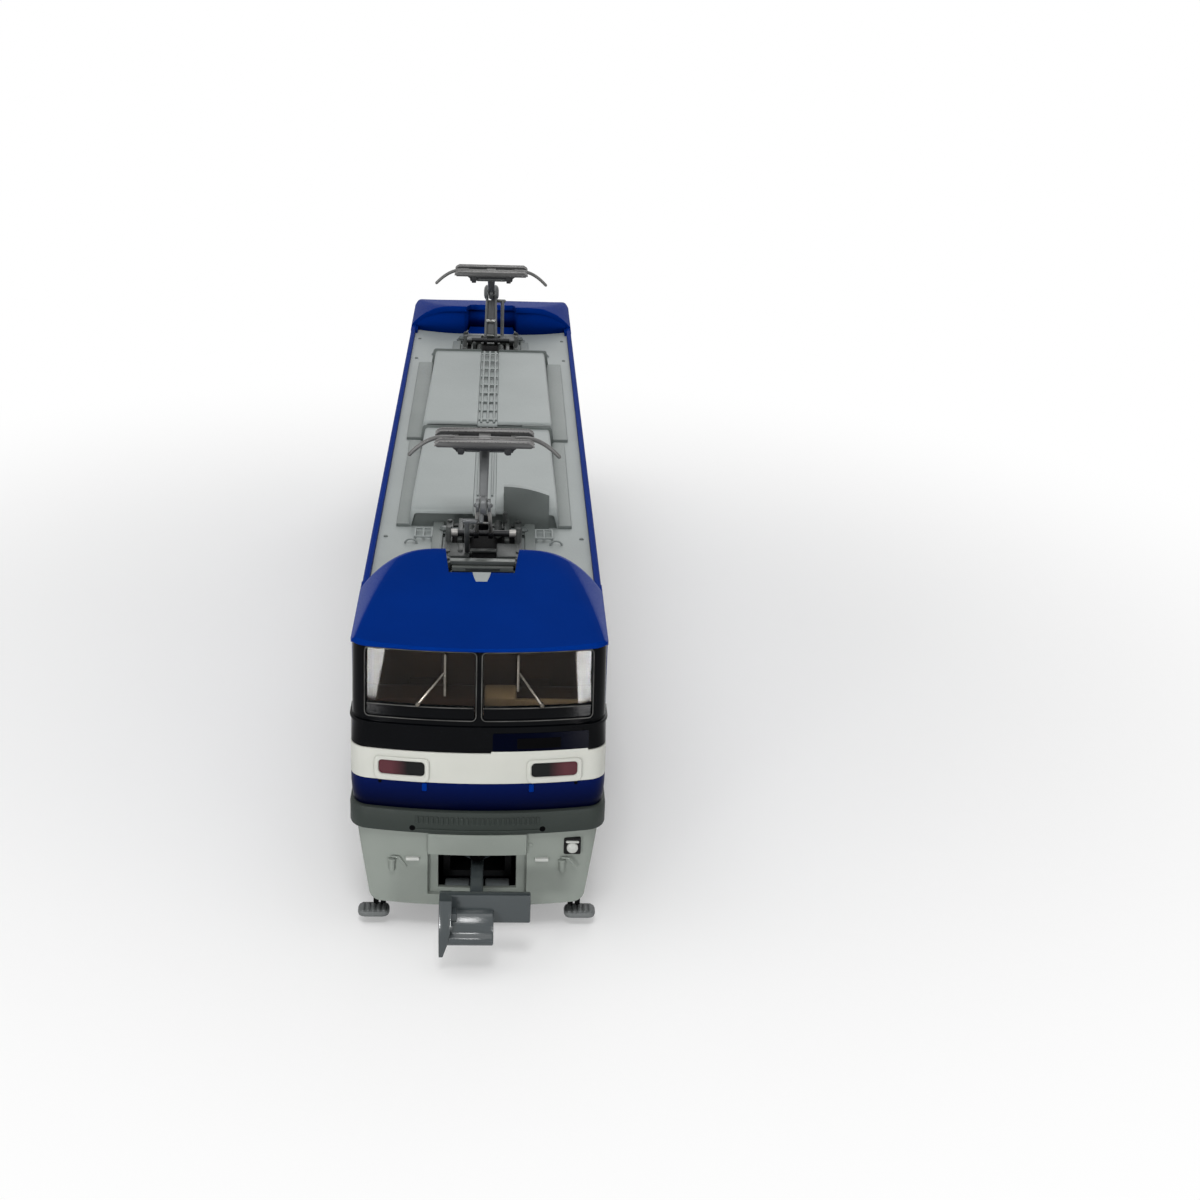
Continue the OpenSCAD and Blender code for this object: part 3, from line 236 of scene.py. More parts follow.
# Near-black: painted shade in the sill's holes, inside the coupler's opening and in the pantograph's tray;
# the plate's bed and the band's dots use it too.
BLACK_AND_SHADE = finish("black_paint_and_painted_shade", seen(5, 5, 6), 0.6, shine=0.015, vary=0.2)
SOCKET_BLACK = finish("socket_black", seen(12, 12, 13), 0.42, shine=0.15, vary=0.2)
# Pale grey: the jumper sockets' caps, and a painted highlight on the skirt's bars.
CAP_GREY_AND_HIGHLIGHT = finish("socket_cap_grey_and_painted_highlight", seen(176, 178, 174), 0.4, vary=0.05)
COUPLER = finish("coupler_blue_grey", seen(58, 64, 66), 0.15, shine=0.5, vary=0.06)
POCKET = finish("pocket_dark_grey", seen(16, 17, 18), 0.5, shine=0.15, vary=0.15)
POCKET_LIP = finish("pocket_lip_grey", seen(122, 128, 130), 0.45, vary=0.1)
ROOF = finish("roof_grey", seen(150, 156, 155), 0.55, vary=0.03)
# Darker roof grey: painted shade on the end faces of the boxes and the cowl and on the slot's block; the
# rivets and base pads use it too.
ROOF_DARK_GREY_AND_SHADE = finish("roof_dark_grey_and_painted_shade", seen(108, 114, 112), 0.5, vary=0.05)
ROOF_DUCT_SHADE = finish("roof_duct_painted_shade", seen(122, 128, 126), 0.55, vary=0.05)
BUSBAR = finish("busbar_grey", seen(140, 146, 145), 0.5, vary=0.05)
CAB_BROWN = finish("cab_brown", seen(70, 52, 42), 0.6, shine=0.15, vary=0.2, patch=2.5)
CONSOLE_TAN = finish("console_tan", seen(150, 134, 106), 0.5, shine=0.15, vary=0.1, patch=2.0)
WIPER = finish("wiper_metal", seen(92, 88, 82), 0.24, metal=0.7, vary=0.3, patch=0.6)
BEAD_HIGHLIGHT = finish("bead_painted_highlight", seen(84, 84, 82), 0.16, metal=0.8, vary=0.4, patch=1.2)
ARM = finish("pantograph_arm_grey", seen(90, 92, 93), 0.36, metal=0.3, vary=0.1, patch=1.5)
LIT_LEG_GREY = finish("pantograph_leg_painted_light", seen(178, 176, 172), 0.4, metal=0.2, vary=0.1, patch=1.0)
HORN = finish("pantograph_horn_grey", seen(98, 98, 97), 0.4, metal=0.2, vary=0.1, patch=1.0)
# Dark grey: the head's under parts, cheeks and feet, and painted shade on the front plate between the lower
# arm's legs.
PANTOGRAPH_DARK_AND_SHADE = finish("pantograph_head_dark", seen(36, 37, 39), 0.4, metal=0.2, vary=0.15, patch=1.0)
BASE_PLATE = finish("pantograph_plate_grey", seen(104, 108, 105), 0.4, metal=0.2, vary=0.1, patch=1.2)
BASE = finish("pantograph_base_grey", seen(58, 61, 60), 0.45, metal=0.1, shine=0.2, vary=0.22, patch=1.2)
STRIP = finish("contact_strip_metal", seen(72, 72, 72), 0.4, metal=0.3, vary=0.12, patch=1.2,
               stretch=(3, 0.3, 3))
STRIP_EDGE = finish("contact_strip_edge", seen(122, 121, 120), 0.3, metal=0.4, vary=0.08, patch=0.8)
PIN = finish("bright_pin", seen(160, 160, 157), 0.2, metal=0.8, vary=0.06, patch=0.6)
INSULATOR = finish("insulator_grey", seen(92, 98, 97), 0.3, vary=0.08)
BOGIE = finish("bogie_grey", seen(62, 65, 66), 0.55, vary=0.12, patch=3.0)
WHEEL = finish("wheel_metal", seen(96, 92, 88), 0.34, metal=0.85, vary=0.18, patch=1.5)
CAST = finish("die_cast_metal", seen(128, 129, 130), 0.46, metal=0.8, vary=0.1, grain=0.3, raise_mm=0.03)
STEEL = finish("plated_steel", seen(176, 176, 172), 0.28, metal=0.95, vary=0.08, stretch=(0.3, 4, 4))
BRASS = finish("turned_brass", seen(196, 158, 82), 0.26, metal=0.95, vary=0.1, stretch=(8, 0.4, 0.4))
IVORY = finish("ivory_plastic", seen(214, 208, 188), 0.48, vary=0.05)
BOARD = finish("circuit_board_green", seen(32, 96, 56), 0.35, coat=0.4, vary=0.45, patch=1.6)
print("finishes:", len(bpy.data.materials))

# %% [markdown]
# ## Floor and light
# The locomotive stands on a plain pale floor, so its soft shadow tells where it is. Large soft lamps hang
# over it, and two small ones stand at the sides: their reflection makes the windscreen's ends shine.
# The world is white only for the camera and for reflections, and lights the model gently.

# %% Stage and lamps
def white_for_camera(tree, shaded, white):
    """White where the camera, a reflection or glass looks, and shaded for the light that falls on things."""
    path = add_node(tree, "LightPath").outputs
    looks = arithmetic(tree, "MAXIMUM", path["Is Camera Ray"], path["Is Glossy Ray"])
    looks = arithmetic(tree, "MAXIMUM", looks, path["Is Transmission Ray"])
    return span(tree, looks, 0.0, 1.0, shaded, white)


def fade_to_white(made, near, far):
    """Within near millimetres of the middle the floor takes light and shadow; past far it is plain white."""
    tree, shader = shader_of(made)
    distance = add_node(tree, "VectorMath")
    distance.operation = "LENGTH"
    tree.links.new(object_place(tree), distance.inputs[0])
    share = span(tree, distance.outputs["Value"], near * MM, far * MM)
    share.node.interpolation_type = "SMOOTHSTEP"
    plain = arithmetic(tree, "MULTIPLY", share, white_for_camera(tree, 0.0, 1.0))
    mix = add_node(tree, "MixShader", Fac=plain)
    tree.links.new(shader.outputs[0], mix.inputs[1])
    tree.links.new(add_node(tree, "Emission").outputs[0], mix.inputs[2])
    fill(tree, tree.nodes["Material Output"], Surface=mix.outputs[0])


def unit(vectors):
    """Vectors brought to length one."""
    return vectors / np.linalg.norm(vectors, axis=-1, keepdims=True)


def soft_lamp(name, place, aim, wide, tall, power, roll=0.0):
    """A flat lamp at place, in millimetres, that faces aim; roll turns it in its own plane, in degrees."""
    data = bpy.data.lights.new(name, "AREA")
    data.shape = "RECTANGLE"
    data.size = wide * MM
    data.size_y = tall * MM
    data.energy = power
    back = unit(np.subtract(place, aim))
    side = unit(np.cross((0, 0, 1), back))
    above = np.cross(back, side)
    r = math.radians(roll)
    right = side * math.cos(r) + above * math.sin(r)
    up = above * math.cos(r) - side * math.sin(r)
    put(bpy.data.objects.new(name, data), np.stack([right, up, back], 1), place)


WORLD_LIGHT = 0.28
world = bpy.data.worlds.new("studio")
scene.world = world
world.use_nodes = True
backdrop = world.node_tree.nodes["Background"]
backdrop.inputs["Color"].default_value = (1, 1, 1, 1)
world.node_tree.links.new(white_for_camera(world.node_tree, WORLD_LIGHT, 1.0), backdrop.inputs["Strength"])

FLOOR_HALF = 4000
floor_mesh = bpy.data.meshes.new("floor")
floor_mesh.from_pydata([(x * FLOOR_HALF * MM, y * FLOOR_HALF * MM, 0)
                        for x, y in ((-1, -1), (1, -1), (1, 1), (-1, 1))], [], [(0, 1, 2, 3)])
floor = bpy.data.objects.new("floor", floor_mesh)
scene.collection.objects.link(floor)
floor_finish = finish("floor_white", (0.95, 0.95, 0.95, 1), 0.8, vary=0.01, patch=80, grain=1.5,
                      raise_mm=0.01)
floor_mesh.materials.append(floor_finish)
fade_to_white(floor_finish, 25, 108)
soft_lamp("top_lamp", (40, -60, 420), (0, 0, 10), 420, 420, 0.7)
soft_lamp("front_lamp", (268, -5, 388), (30, 0, 12), 100, 100, 0.46)
soft_lamp("left_lamp", (281, -131, 17), (54, -7, 20), 44, 44, 0.28, 45)
soft_lamp("right_lamp", (284, 123, 8), (54, 7, 20), 32, 34, 0.2, 14)
soft_lamp("rear_lamp", (-360, 80, 240), (-20, 0, 12), 260, 260, 0.35)
scene.view_settings.view_transform = "Standard"
print("lamps:", len(bpy.data.lights))

# %% [markdown]
# ## Shape tools
# Almost every piece below is a grid of points with two parameters, or an outline carried along a line.
# The tools return points and faces as arrays; `add_piece` joins them, turns faces outwards and hangs the
# finished mesh on the body that carries it.

# %% Grids and lofts
def quads_of(rows, cols, wrap_rows=False, wrap_cols=False):
    """Four corner numbers for each cell of a rows by cols grid; a wrapped side meets its start again."""
    index = np.arange(rows * cols).reshape(rows, cols)
    if wrap_rows:
        index = np.concatenate([index, index[:1]])
    if wrap_cols:
        index = np.concatenate([index, index[:, :1]], 1)
    return np.stack([index[:-1, :-1], index[:-1, 1:], index[1:, 1:], index[1:, :-1]], -1)


def sheet(points, keep=None):
    """An open surface over a grid of points; keep says which cells stay."""
    quads = quads_of(*points.shape[:2])
    chosen = quads.reshape(-1, 4) if keep is None else quads[keep]
    return points.reshape(-1, 3), [chosen]


def ring_solid(points):
    """A closed ring: rows run round its cross section, columns round the ring."""
    return points.reshape(-1, 3), [quads_of(*points.shape[:2], True, True).reshape(-1, 4)]


def loft(rings):
    """A solid through closed rings, with a flat face at both ends."""
    count, around = rings.shape[:2]
    first = np.arange(around)[::-1]
    last = np.arange(around) + (count - 1) * around
    return rings.reshape(-1, 3), [quads_of(count, around, False, True).reshape(-1, 4),
                                  np.stack([first, last])]


# %% Outlines and prisms
PLANES = {"x": (1, 2, 0), "y": (0, 2, 1), "z": (0, 1, 2)}


def stand(flat, depth, axis):
    """Points from two coordinates in the plane across an axis, and a depth along it."""
    a, b, c = PLANES[axis]
    out = np.empty(flat.shape[:-1] + (3,))
    out[..., a] = flat[..., 0]
    out[..., b] = flat[..., 1]
    out[..., c] = depth
    return out


def arc(centre, radius, start, end, count):
    """Points of an arc, from one angle in degrees to another."""
    t = np.radians(np.linspace(start, end, count))
    return np.stack([centre[0] + radius * np.cos(t), centre[1] + radius * np.sin(t)], -1)


def round_loop(low, high, radius, steps=4, along=1):
    """A rectangle with round corners: four quarter circles, with straight runs of along cells between."""
    (x0, y0), (x1, y1) = low, high
    r = radius
    corners = [((x1 - r, y1 - r), 0), ((x0 + r, y1 - r), 90), ((x0 + r, y0 + r), 180),
               ((x1 - r, y0 + r), 270)]
    turns = [arc(centre, r, start, start + 90, steps + 1) for centre, start in corners]
    share = np.linspace(0, 1, along + 1)[1:-1, None]
    runs = [turn[-1] + share * (after[0] - turn[-1]) for turn, after in zip(turns, turns[1:] + turns[:1])]
    return np.concatenate([part for pair in zip(turns, runs) for part in pair])


def inset(loop, depth):
    """The loop moved inwards: each point goes along its two edges' normals until both are depth away."""
    back = loop - np.roll(loop, 1, 0)
    ahead = np.roll(loop, -1, 0) - loop
    turning = np.sign((loop[:, 0] * ahead[:, 1] - loop[:, 1] * ahead[:, 0]).sum())
    normals = [unit(np.stack([-e[:, 1], e[:, 0]], -1)) for e in (back, ahead)]
    both = 1 + (normals[0] * normals[1]).sum(1)
    return loop + turning * depth * (normals[0] + normals[1]) / np.maximum(both, 0.3)[:, None]


def prism(loop, start, end, axis, edge=0.06, steps=2):
    """An outline pulled along an axis, with its two rims rounded by edge."""
    t = np.radians(np.linspace(0, 90, steps + 1)) if edge else np.array([math.pi / 2])
    cut = edge * (1 - np.sin(t))
    rise = edge * (1 - np.cos(t))
    rims = [(d, start + h) for d, h in zip(cut, rise)]
    rims += [(d, end - h) for d, h in zip(cut[::-1], rise[::-1])]
    return loft(np.stack([stand(inset(loop, d), h, axis) for d, h in rims]))


def block(low, high, corner=0.1, edge=0.06, axis="z"):
    """A box between two corners, with round corners across the axis and round rims along it."""
    a, b, c = PLANES[axis]
    return prism(round_loop((low[a], low[b]), (high[a], high[b]), corner, 3), low[c], high[c], axis, edge)


# %% Tubes and turned shapes
def tube(path, radius, sides=10, up=(0, 0, 1)):
    """A round rod along a path of points, with domed ends; up is any direction across it."""
    path = np.asarray(path, float)
    heading = unit(np.gradient(path, axis=0))
    size = np.broadcast_to(np.asarray(radius, float), len(path))
    dome = np.radians([90, 60, 30])
    head = path[:1] - heading[:1] * (size[0] * np.sin(dome))[:, None]
    tail = path[-1:] + heading[-1:] * (size[-1] * np.sin(dome[::-1]))[:, None]
    path = np.concatenate([head, path, tail])
    heading = np.concatenate([heading[:1].repeat(3, 0), heading, heading[-1:].repeat(3, 0)])
    size = np.concatenate([size[0] * np.cos(dome), size, size[-1] * np.cos(dome[::-1])]) + 1e-4
    across = unit(np.cross(heading, up))
    above = np.cross(across, heading)
    t = np.linspace(0, 2 * math.pi, sides, endpoint=False)[None, :, None]
    ring = across[:, None] * np.cos(t) + above[:, None] * np.sin(t)
    return loft(path[:, None] + size[:, None, None] * ring)


def line(start, end, radius, sides=10, up=(0, 0, 1)):
    """A straight rod."""
    return tube(np.linspace(start, end, 3), radius, sides, up)


def turned(profile, centre, axis="z", sides=20):
    """A lathe shape: radius and height pairs, spun round an axis through the centre."""
    profile = np.asarray(profile, float)
    t = np.linspace(0, 2 * math.pi, sides, endpoint=False)
    flat = profile[:, :1, None] * np.stack([np.cos(t), np.sin(t)], -1)
    return loft(stand(flat, profile[:, 1:2], axis) + np.asarray(centre, float))


def cross_pin(centre, half, radius, sides):
    """A straight rod across the locomotive, with its middle at the centre."""
    return line(centre - (0, half, 0), centre + (0, half, 0), radius, sides)


def mirrored(half):
    """Numbers from zero up, with their negatives before them."""
    return np.concatenate([-half[..., :0:-1], half], -1)


def both_sides(parts):
    """The parts and their mirror images across the locomotive's middle."""
    return parts + [(p[0] * (1, -1, 1), *p[1:]) for p in parts]


def end_to_end(parts):
    """The parts and their mirror images from the front half to the rear half."""
    return parts + [(p[0] * (-1, 1, 1), *p[1:]) for p in parts]


def at_end(parts, sign):
    """The parts at the front for +1, or turned half a turn to the rear for -1."""
    return [(p[0] * (sign, sign, 1), *p[1:]) for p in parts]


def painted(parts, number):
    """The parts with the number of their finish."""
    return [(*p, number) for p in parts]


ENDS = (("front", 1), ("rear", -1))


def both_ends(parts):
    """The parts at the front and, turned round, at the rear."""
    return [p for _, sign in ENDS for p in at_end(parts, sign)]


# %% Making a piece
def add_piece(name, parts, finishes, body, stands_for=(), smooth=35, outwards=True):
    """Joins parts into one mesh in metres. A part is points, faces and, if it has one, a finish number."""
    starts = np.cumsum([0] + [len(p[0]) for p in parts])
    groups = [group + start for p, start in zip(parts, starts) for group in p[1]]
    numbers = [np.broadcast_to(p[2] if len(p) > 2 else 0, sum(len(g) for g in p[1])) for p in parts]
    mesh = bpy.data.meshes.new(name)
    points = np.concatenate([p[0] for p in parts]) * MM
    mesh.from_pydata(points.tolist(), [], [face for group in groups for face in group.tolist()])
    finishes = finishes if isinstance(finishes, (list, tuple)) else [finishes]
    for made in finishes:
        mesh.materials.append(made)
    mesh.polygons.foreach_set("material_index", np.concatenate(numbers).astype(np.int32))
    tidy = bmesh.new()
    tidy.from_mesh(mesh)
    bmesh.ops.remove_doubles(tidy, verts=tidy.verts, dist=1e-8)
    if outwards:
        bmesh.ops.recalc_face_normals(tidy, faces=tidy.faces)
    tidy.to_mesh(mesh)
    tidy.free()
    mesh.shade_smooth()
    mesh.set_sharp_from_angle(angle=math.radians(smooth))
    piece = bpy.data.objects.new(name, mesh)
    scene.collection.objects.link(piece)
    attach(piece, body)
    if stands_for:
        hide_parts(*stands_for)
    return piece


def add_ends(name, parts, finishes, body, stands_for=()):
    """One piece at the front and one at the rear: {} in a name stands for the end."""
    for end, sign in ENDS:
        add_piece(name.format(end), at_end(parts, sign), finishes, body.format(end),
                  [node.format(end) for node in stands_for])


def thicken(piece, thickness, bevel=0.0):
    """Gives an open sheet its wall, inwards from the seen face, and rounds its rims."""
    wall = piece.modifiers.new("wall", "SOLIDIFY")
    wall.thickness = thickness * MM
    wall.offset = -1
    if bevel:
        rim = piece.modifiers.new("rim", "BEVEL")
        rim.width = bevel * MM
        rim.segments = 2
        rim.limit_method = "ANGLE"
        rim.angle_limit = math.radians(40)


def joint_place(name):
    """A joint's place in the frame, in millimetres."""
    return next(np.array(j["pos_m"]) / MM for j in frame["joints"] if j["name"] == name)


def span_of(node):
    """Lowest and highest corner of a solid, in millimetres."""
    low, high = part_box(node)
    return np.array(low) / MM, np.array(high) / MM


# %% [markdown]
# ## The skin of the cab
# Seen from above, the nose is a shallow bow between two small round corners. Everything at the ends of the
# locomotive is wrapped on that line, so one function gives it: how far round, how high, and how deep.
# Above the stripe the nose leans back.

# %% Skin
SILL_LOW, SILL_HIGH = span_of("underframe")
NOSE_X = SILL_HIGH[0]
HALF_W = SILL_HIGH[1]
SILL_Z = SILL_LOW[2]
BODY_Z = SILL_HIGH[2]
MASK_LOW, MASK_HIGH = span_of("windscreen_front")
MASK_X = MASK_LOW[0]
MASK_Z = MASK_LOW[2]
VISOR_Z = MASK_HIGH[2]
HOOD_TOP = span_of("body_shell")[1][2]
STRIPE_Z = BODY_Z + 2.35
NOSE_R = 38
CORNER_R = 1.6
RAKE = math.radians(10.5)
TURN = math.asin((HALF_W - CORNER_R) / (NOSE_R - CORNER_R))
NOSE_END = NOSE_R * TURN
CORNER_END = NOSE_END + CORNER_R * (math.pi / 2 - TURN)
CORNER_X = NOSE_X - NOSE_R + (NOSE_R - CORNER_R) * math.cos(TURN)
MASK_END = CORNER_END + CORNER_X - MASK_X


def skin(way, z, depth=0.0):
    """A point of the skin: way is the length round the plan from the nose's middle, first on the bow, then
    on the corner, then straight along the side; depth goes inwards. The lean fades out along the side."""
    way, z, depth = np.broadcast_arrays(way, z, depth)
    far = np.abs(way)
    on_bow = far <= NOSE_END
    angle = np.where(on_bow, far / NOSE_R, TURN + (far - NOSE_END) / CORNER_R)
    angle = np.minimum(angle, math.pi / 2)
    radius = np.where(on_bow, NOSE_R, CORNER_R) - depth
    along = np.maximum(far - CORNER_END, 0)
    x = np.where(on_bow, NOSE_X - NOSE_R, CORNER_X) + radius * np.cos(angle) - along
    y = np.sign(way) * (np.where(on_bow, 0, HALF_W - CORNER_R) + radius * np.sin(angle))
    fade = 1 - np.clip(along / (MASK_END - CORNER_END), 0, 1)
    lean = np.maximum(z - MASK_Z, 0) * math.tan(RAKE) * fade
    return np.stack([x - lean, y, z + 0 * x], -1)


def on_skin(loops_and_depths):
    """Rings of points: each loop of way and height is laid on the skin at its depth."""
    return np.stack([skin(loop[:, 0], loop[:, 1], depth) for loop, depth in loops_and_depths])


def skin_plate(loop, outer, inner):
    """A plate that follows the skin: the loop shrinks to its middle at the outer and at the inner depth."""
    middle = loop.mean(0)
    shares = np.linspace(0.02, 1, 8)
    front = [(middle + share * (loop - middle), outer) for share in shares]
    back = [(middle + share * (loop - middle), inner) for share in shares[::-1]]
    return loft(on_skin(front + back))


def round_way(bow, corner, rest):
    """Ways from the nose's middle: bow and corner say how many points each gets; the rest lies beyond."""
    return np.concatenate([np.linspace(0, NOSE_END, bow), np.linspace(NOSE_END, CORNER_END, corner)[1:],
                           rest])


print("nose at", round(NOSE_X, 2), "mm; the mask wraps", round(MASK_END, 2), "mm from its middle")

# %% [markdown]
# ## Body walls
# On the model the body is one injection moulding, and its bands are sprayed through masks.
# The lower wall is one band round the whole body: blue, then the pale stripe. Its blue is painted darker
# than the hood's, and darker still towards the sill, as painted shade. It is made as a ring whose cross
# section is carried round the plan. The upper side walls stop at the mask and carry the cab windows, so they
# are panels with a round-cornered hole.

# %% Lower wall and stripe
WALL = 0.8
half_way = round_way(15, 9, np.linspace(CORNER_END, CORNER_END + CORNER_X, 6)[1:])
front_way = mirrored(half_way)[:-1]


def band(rows):
    """A ring round the whole plan from rows of height and depth: the front half, then its half turn."""
    z, depth = np.array(rows).T
    half = skin(front_way[None], z[:, None], depth[:, None])
    return ring_solid(np.concatenate([half, half * (-1, -1, 1)], 1))


wall_rows = [(BODY_Z, WALL), (BODY_Z, 0.25), (BODY_Z + 0.12, 0.17), (BODY_Z + 0.8, 0.07),
             (BODY_Z + 1.6, 0.01), (STRIPE_Z, 0), (MASK_Z - 0.04, 0), (MASK_Z, 0.05), (MASK_Z, WALL)]
wall_points, wall_faces = band(wall_rows)
# Finish 2 on the lower rows is the band blue, with its painted shade towards the sill.
wall_finish = np.repeat([2, 2, 2, 2, 2, 1, 1, 1, 0], 2 * len(front_way))
add_piece("body_wall", [(wall_points, wall_faces, wall_finish)], [BLUE, WHITE, SHADED_BAND_BLUE], "body",
          ["body_shell"])
print("lower wall points:", len(wall_points))

# %% Upper side walls
HOOD_X = NOSE_X - 15.7
SWEEP = 2.0
RIM_W = 0.55
DECK_Z = span_of("roof_deck")[0][2] + 1
SHAFT = joint_place("pantograph_front_fold")
SHAFT_X = SHAFT[0]
DECK_W = HALF_W - RIM_W
RIM_R = 0.45
SIDE_TOP = VISOR_Z - 0.13
CAB_WINDOW = ((MASK_X - 5.6, MASK_Z + 2), (MASK_X - 2, MASK_Z + 6))


def side_place(rows):
    """Rings of points on the +Y side from loops of length and height, each at its depth."""
    return np.stack([stand(loop, HALF_W - depth, "y") for loop, depth in rows])


rim = np.concatenate([[(HALF_W, MASK_Z)], arc((HALF_W - RIM_R, VISOR_Z - RIM_R), RIM_R, 0, 90, 6),
                      [(DECK_W, VISOR_Z), (DECK_W, DECK_Z - 1), (HALF_W - WALL, DECK_Z - 1),
                       (HALF_W - WALL, MASK_Z)]])
cell = round_loop((HOOD_X, MASK_Z), (MASK_X, SIDE_TOP), 0.03, 5, 4)
hole = round_loop(*CAB_WINDOW, 0.5, 5, 4)
lip = inset(hole, -0.22)
cab_side = ring_solid(side_place([(cell, 0), (lip, 0), (lip, -0.06), (inset(hole, -0.06), -0.06),
                                  (hole, 0), (hole, WALL), (cell, WALL)]))
side_parts = both_sides([prism(rim, -HOOD_X - SWEEP, HOOD_X + SWEEP, "x", 0)] + end_to_end([cab_side]))
add_piece("side_walls", side_parts, BLUE, "body", ["body_shell"])
pane = [loft(side_place([(hole.mean(0) + share * (inset(hole, 0.02) - hole.mean(0)), depth)
                         for depth, shares in ((0.25, np.linspace(0.02, 1, 5)),
                                               (0.6, np.linspace(1, 0.02, 5)))
                         for share in shares]))]
add_piece("cab_side_panes", both_sides(end_to_end(pane)), SMOKE_GLASS, "body",
          ["side_windows"])

# %% Doors, handrails and louvres
DOOR_X = MASK_X - 10
DOOR_HALF = 1.8
LOUVRES = 7
LOUVRE_PITCH = 10.2
LOUVRE_W = 8.0
SLATS = 6
SLAT_PITCH = 0.62
LOUVRE_Z = MASK_Z + 1.9
door = [block((DOOR_X - DOOR_HALF, HALF_W - 0.2, MASK_Z - 2.9),
              (DOOR_X + DOOR_HALF, HALF_W + 0.07, MASK_Z + 5.9), 0.3, 0.05, "y"),
        block((DOOR_X - 1.1, HALF_W, MASK_Z + 2.4),
              (DOOR_X + 1.1, HALF_W + 0.12, MASK_Z + 5.2), 0.4, 0.04, "y")]
rail_yz = np.array([(HALF_W, MASK_Z - 2.2), (HALF_W + 0.35, MASK_Z - 2), (HALF_W + 0.35, MASK_Z + 3.6),
                    (HALF_W, MASK_Z + 3.8)])
rails = [tube(stand(rail_yz, DOOR_X + s * (DOOR_HALF + 0.45), "x"), 0.13, 8, (1, 0, 0)) for s in (-1, 1)]
saw = np.array([(HALF_W + dy, LOUVRE_Z + (k + f) * SLAT_PITCH) for k in range(SLATS)
                for dy, f in ((0.02, 0.05), (0.16, 0.15), (0.16, 0.3), (0.02, 0.95))])
saw = np.concatenate([[(HALF_W - 0.1, LOUVRE_Z)], saw, [(HALF_W - 0.1, LOUVRE_Z + SLATS * SLAT_PITCH)]])
louvre_x = (np.arange(LOUVRES) - (LOUVRES - 1) / 2) * LOUVRE_PITCH
louvres = [prism(saw, x - LOUVRE_W / 2, x + LOUVRE_W / 2, "x", 0) for x in louvre_x]
add_piece("doors_and_louvres", both_sides(end_to_end(door) + louvres), BLUE, "body")
add_piece("door_handrails", both_sides(end_to_end(rails)), WIPER, "body")
print("louvre slats:", 2 * LOUVRES * SLATS)

# %% [markdown]
# ## Cab hood
# The hood is a height field: for each place seen from above, its height is the lower of two curves, the
# round-shouldered cross section and the long slope to the visor. A plain minimum would leave a hard crease,
# so a soft minimum blends the two, as paint and moulding do.

# %% Hood
HOOD_FLAT = 4.0
HOOD_R = 6.8
SLOPE_L = NOSE_X - 1.3 - HOOD_X
SLOPE_DROP = 2.5
CREASE = 0.16
NOTCH_L = 3.7
NOTCH_W = 2.9
NOTCH_NARROW = 0.35
VISOR_LIP = 0.25
HOOD_WALL = 0.6
VISOR_BACK = (VISOR_Z - MASK_Z) * math.tan(RAKE) - 0.12


def hood_height(x, y):
    """Soft minimum of the cross section's height at y and the slope's height at x."""
    over = np.clip(np.abs(y) - HOOD_FLAT, 0, HOOD_R - 0.01)
    section = HOOD_TOP - HOOD_R + np.sqrt(HOOD_R ** 2 - over ** 2)
    slope = HOOD_TOP - SLOPE_DROP * np.maximum(x - HOOD_X, 0) / SLOPE_L
    return -CREASE * np.log(np.exp((HOOD_TOP - section) / CREASE) + np.exp((HOOD_TOP - slope) / CREASE)) \
        + HOOD_TOP + CREASE * math.log(2) * np.exp(-np.abs(section - slope))


def front_x(y):
    """The visor's front edge: the bow and its corners, moved back by the lean."""
    far = np.abs(y)
    bow = NOSE_X - NOSE_R + np.sqrt(NOSE_R ** 2 - np.minimum(far, HALF_W) ** 2)
    corner = CORNER_X + np.sqrt(np.maximum(CORNER_R ** 2 - (far - HALF_W + CORNER_R) ** 2, 0))
    return np.where(far <= NOSE_R * math.sin(TURN), bow, corner) - VISOR_BACK


inner = np.linspace(0, 1, 7)
notch_end = HOOD_X + NOTCH_L
back_x = np.linspace(HOOD_X, notch_end, 7)
fore = np.linspace(0, 1, 26)[1:]


def notch_half(x):
    """Half width of the pantograph notch, narrowing towards the nose."""
    return NOTCH_W - NOTCH_NARROW * np.clip((x - HOOD_X) / NOTCH_L, 0, 1)


def sweep(y):
    """How much nearer the nose the hood's rear edge lies at y: nothing in the middle, most at the sides."""
    return SWEEP * np.clip((np.abs(y) - NOTCH_W) / (HALF_W - NOTCH_W), 0, 1) ** 2


side_share = np.sin(np.linspace(0, 0.5 * math.pi, 20)[1:])
column = mirrored(np.concatenate([inner, 1 + side_share]))


def hood_y(x, u):
    """Columns: up to 1 they fill the notch's width, from 1 to 2 they reach the side."""
    w = notch_half(x)
    far = np.abs(u)
    return np.sign(u) * np.where(far <= 1, far * w, w + (far - 1) * (HALF_W - w))


rows_back = [(x + sweep(hood_y(x, column)) * (notch_end - x) / NOTCH_L, hood_y(x, column)) for x in back_x]
fore_y = hood_y(notch_end, column)
rows_fore = [(notch_end + share * (front_x(fore_y) - notch_end), fore_y) for share in fore]
hood_xy = np.stack([np.stack(row, -1) for row in rows_back + rows_fore])
hood_points = np.concatenate([hood_xy, hood_height(hood_xy[..., 0], hood_xy[..., 1])[..., None]], -1)
visor_edge = hood_points[-1].copy()
visor_edge[:, 2] = np.minimum(VISOR_Z, hood_points[-1, :, 2] - VISOR_LIP)
hood_grid = np.concatenate([hood_points, visor_edge[None]])
notch_columns = np.abs(column[:-1] + column[1:]) / 2 < 1
notch_rows = np.arange(len(hood_grid) - 1) < len(back_x) - 1
in_notch = notch_rows[:, None] & notch_columns[None]
for end, sign in ENDS:
    hood = add_piece(f"cab_hood_{end}", at_end([sheet(hood_grid[::-1], ~in_notch[::-1])], sign),
                     HOOD_BLUE if sign > 0 else BLUE, "body", ["body_shell"], 50, False)
    thicken(hood, HOOD_WALL, 0.14)
print("hood grid:", hood_grid.shape[:2])

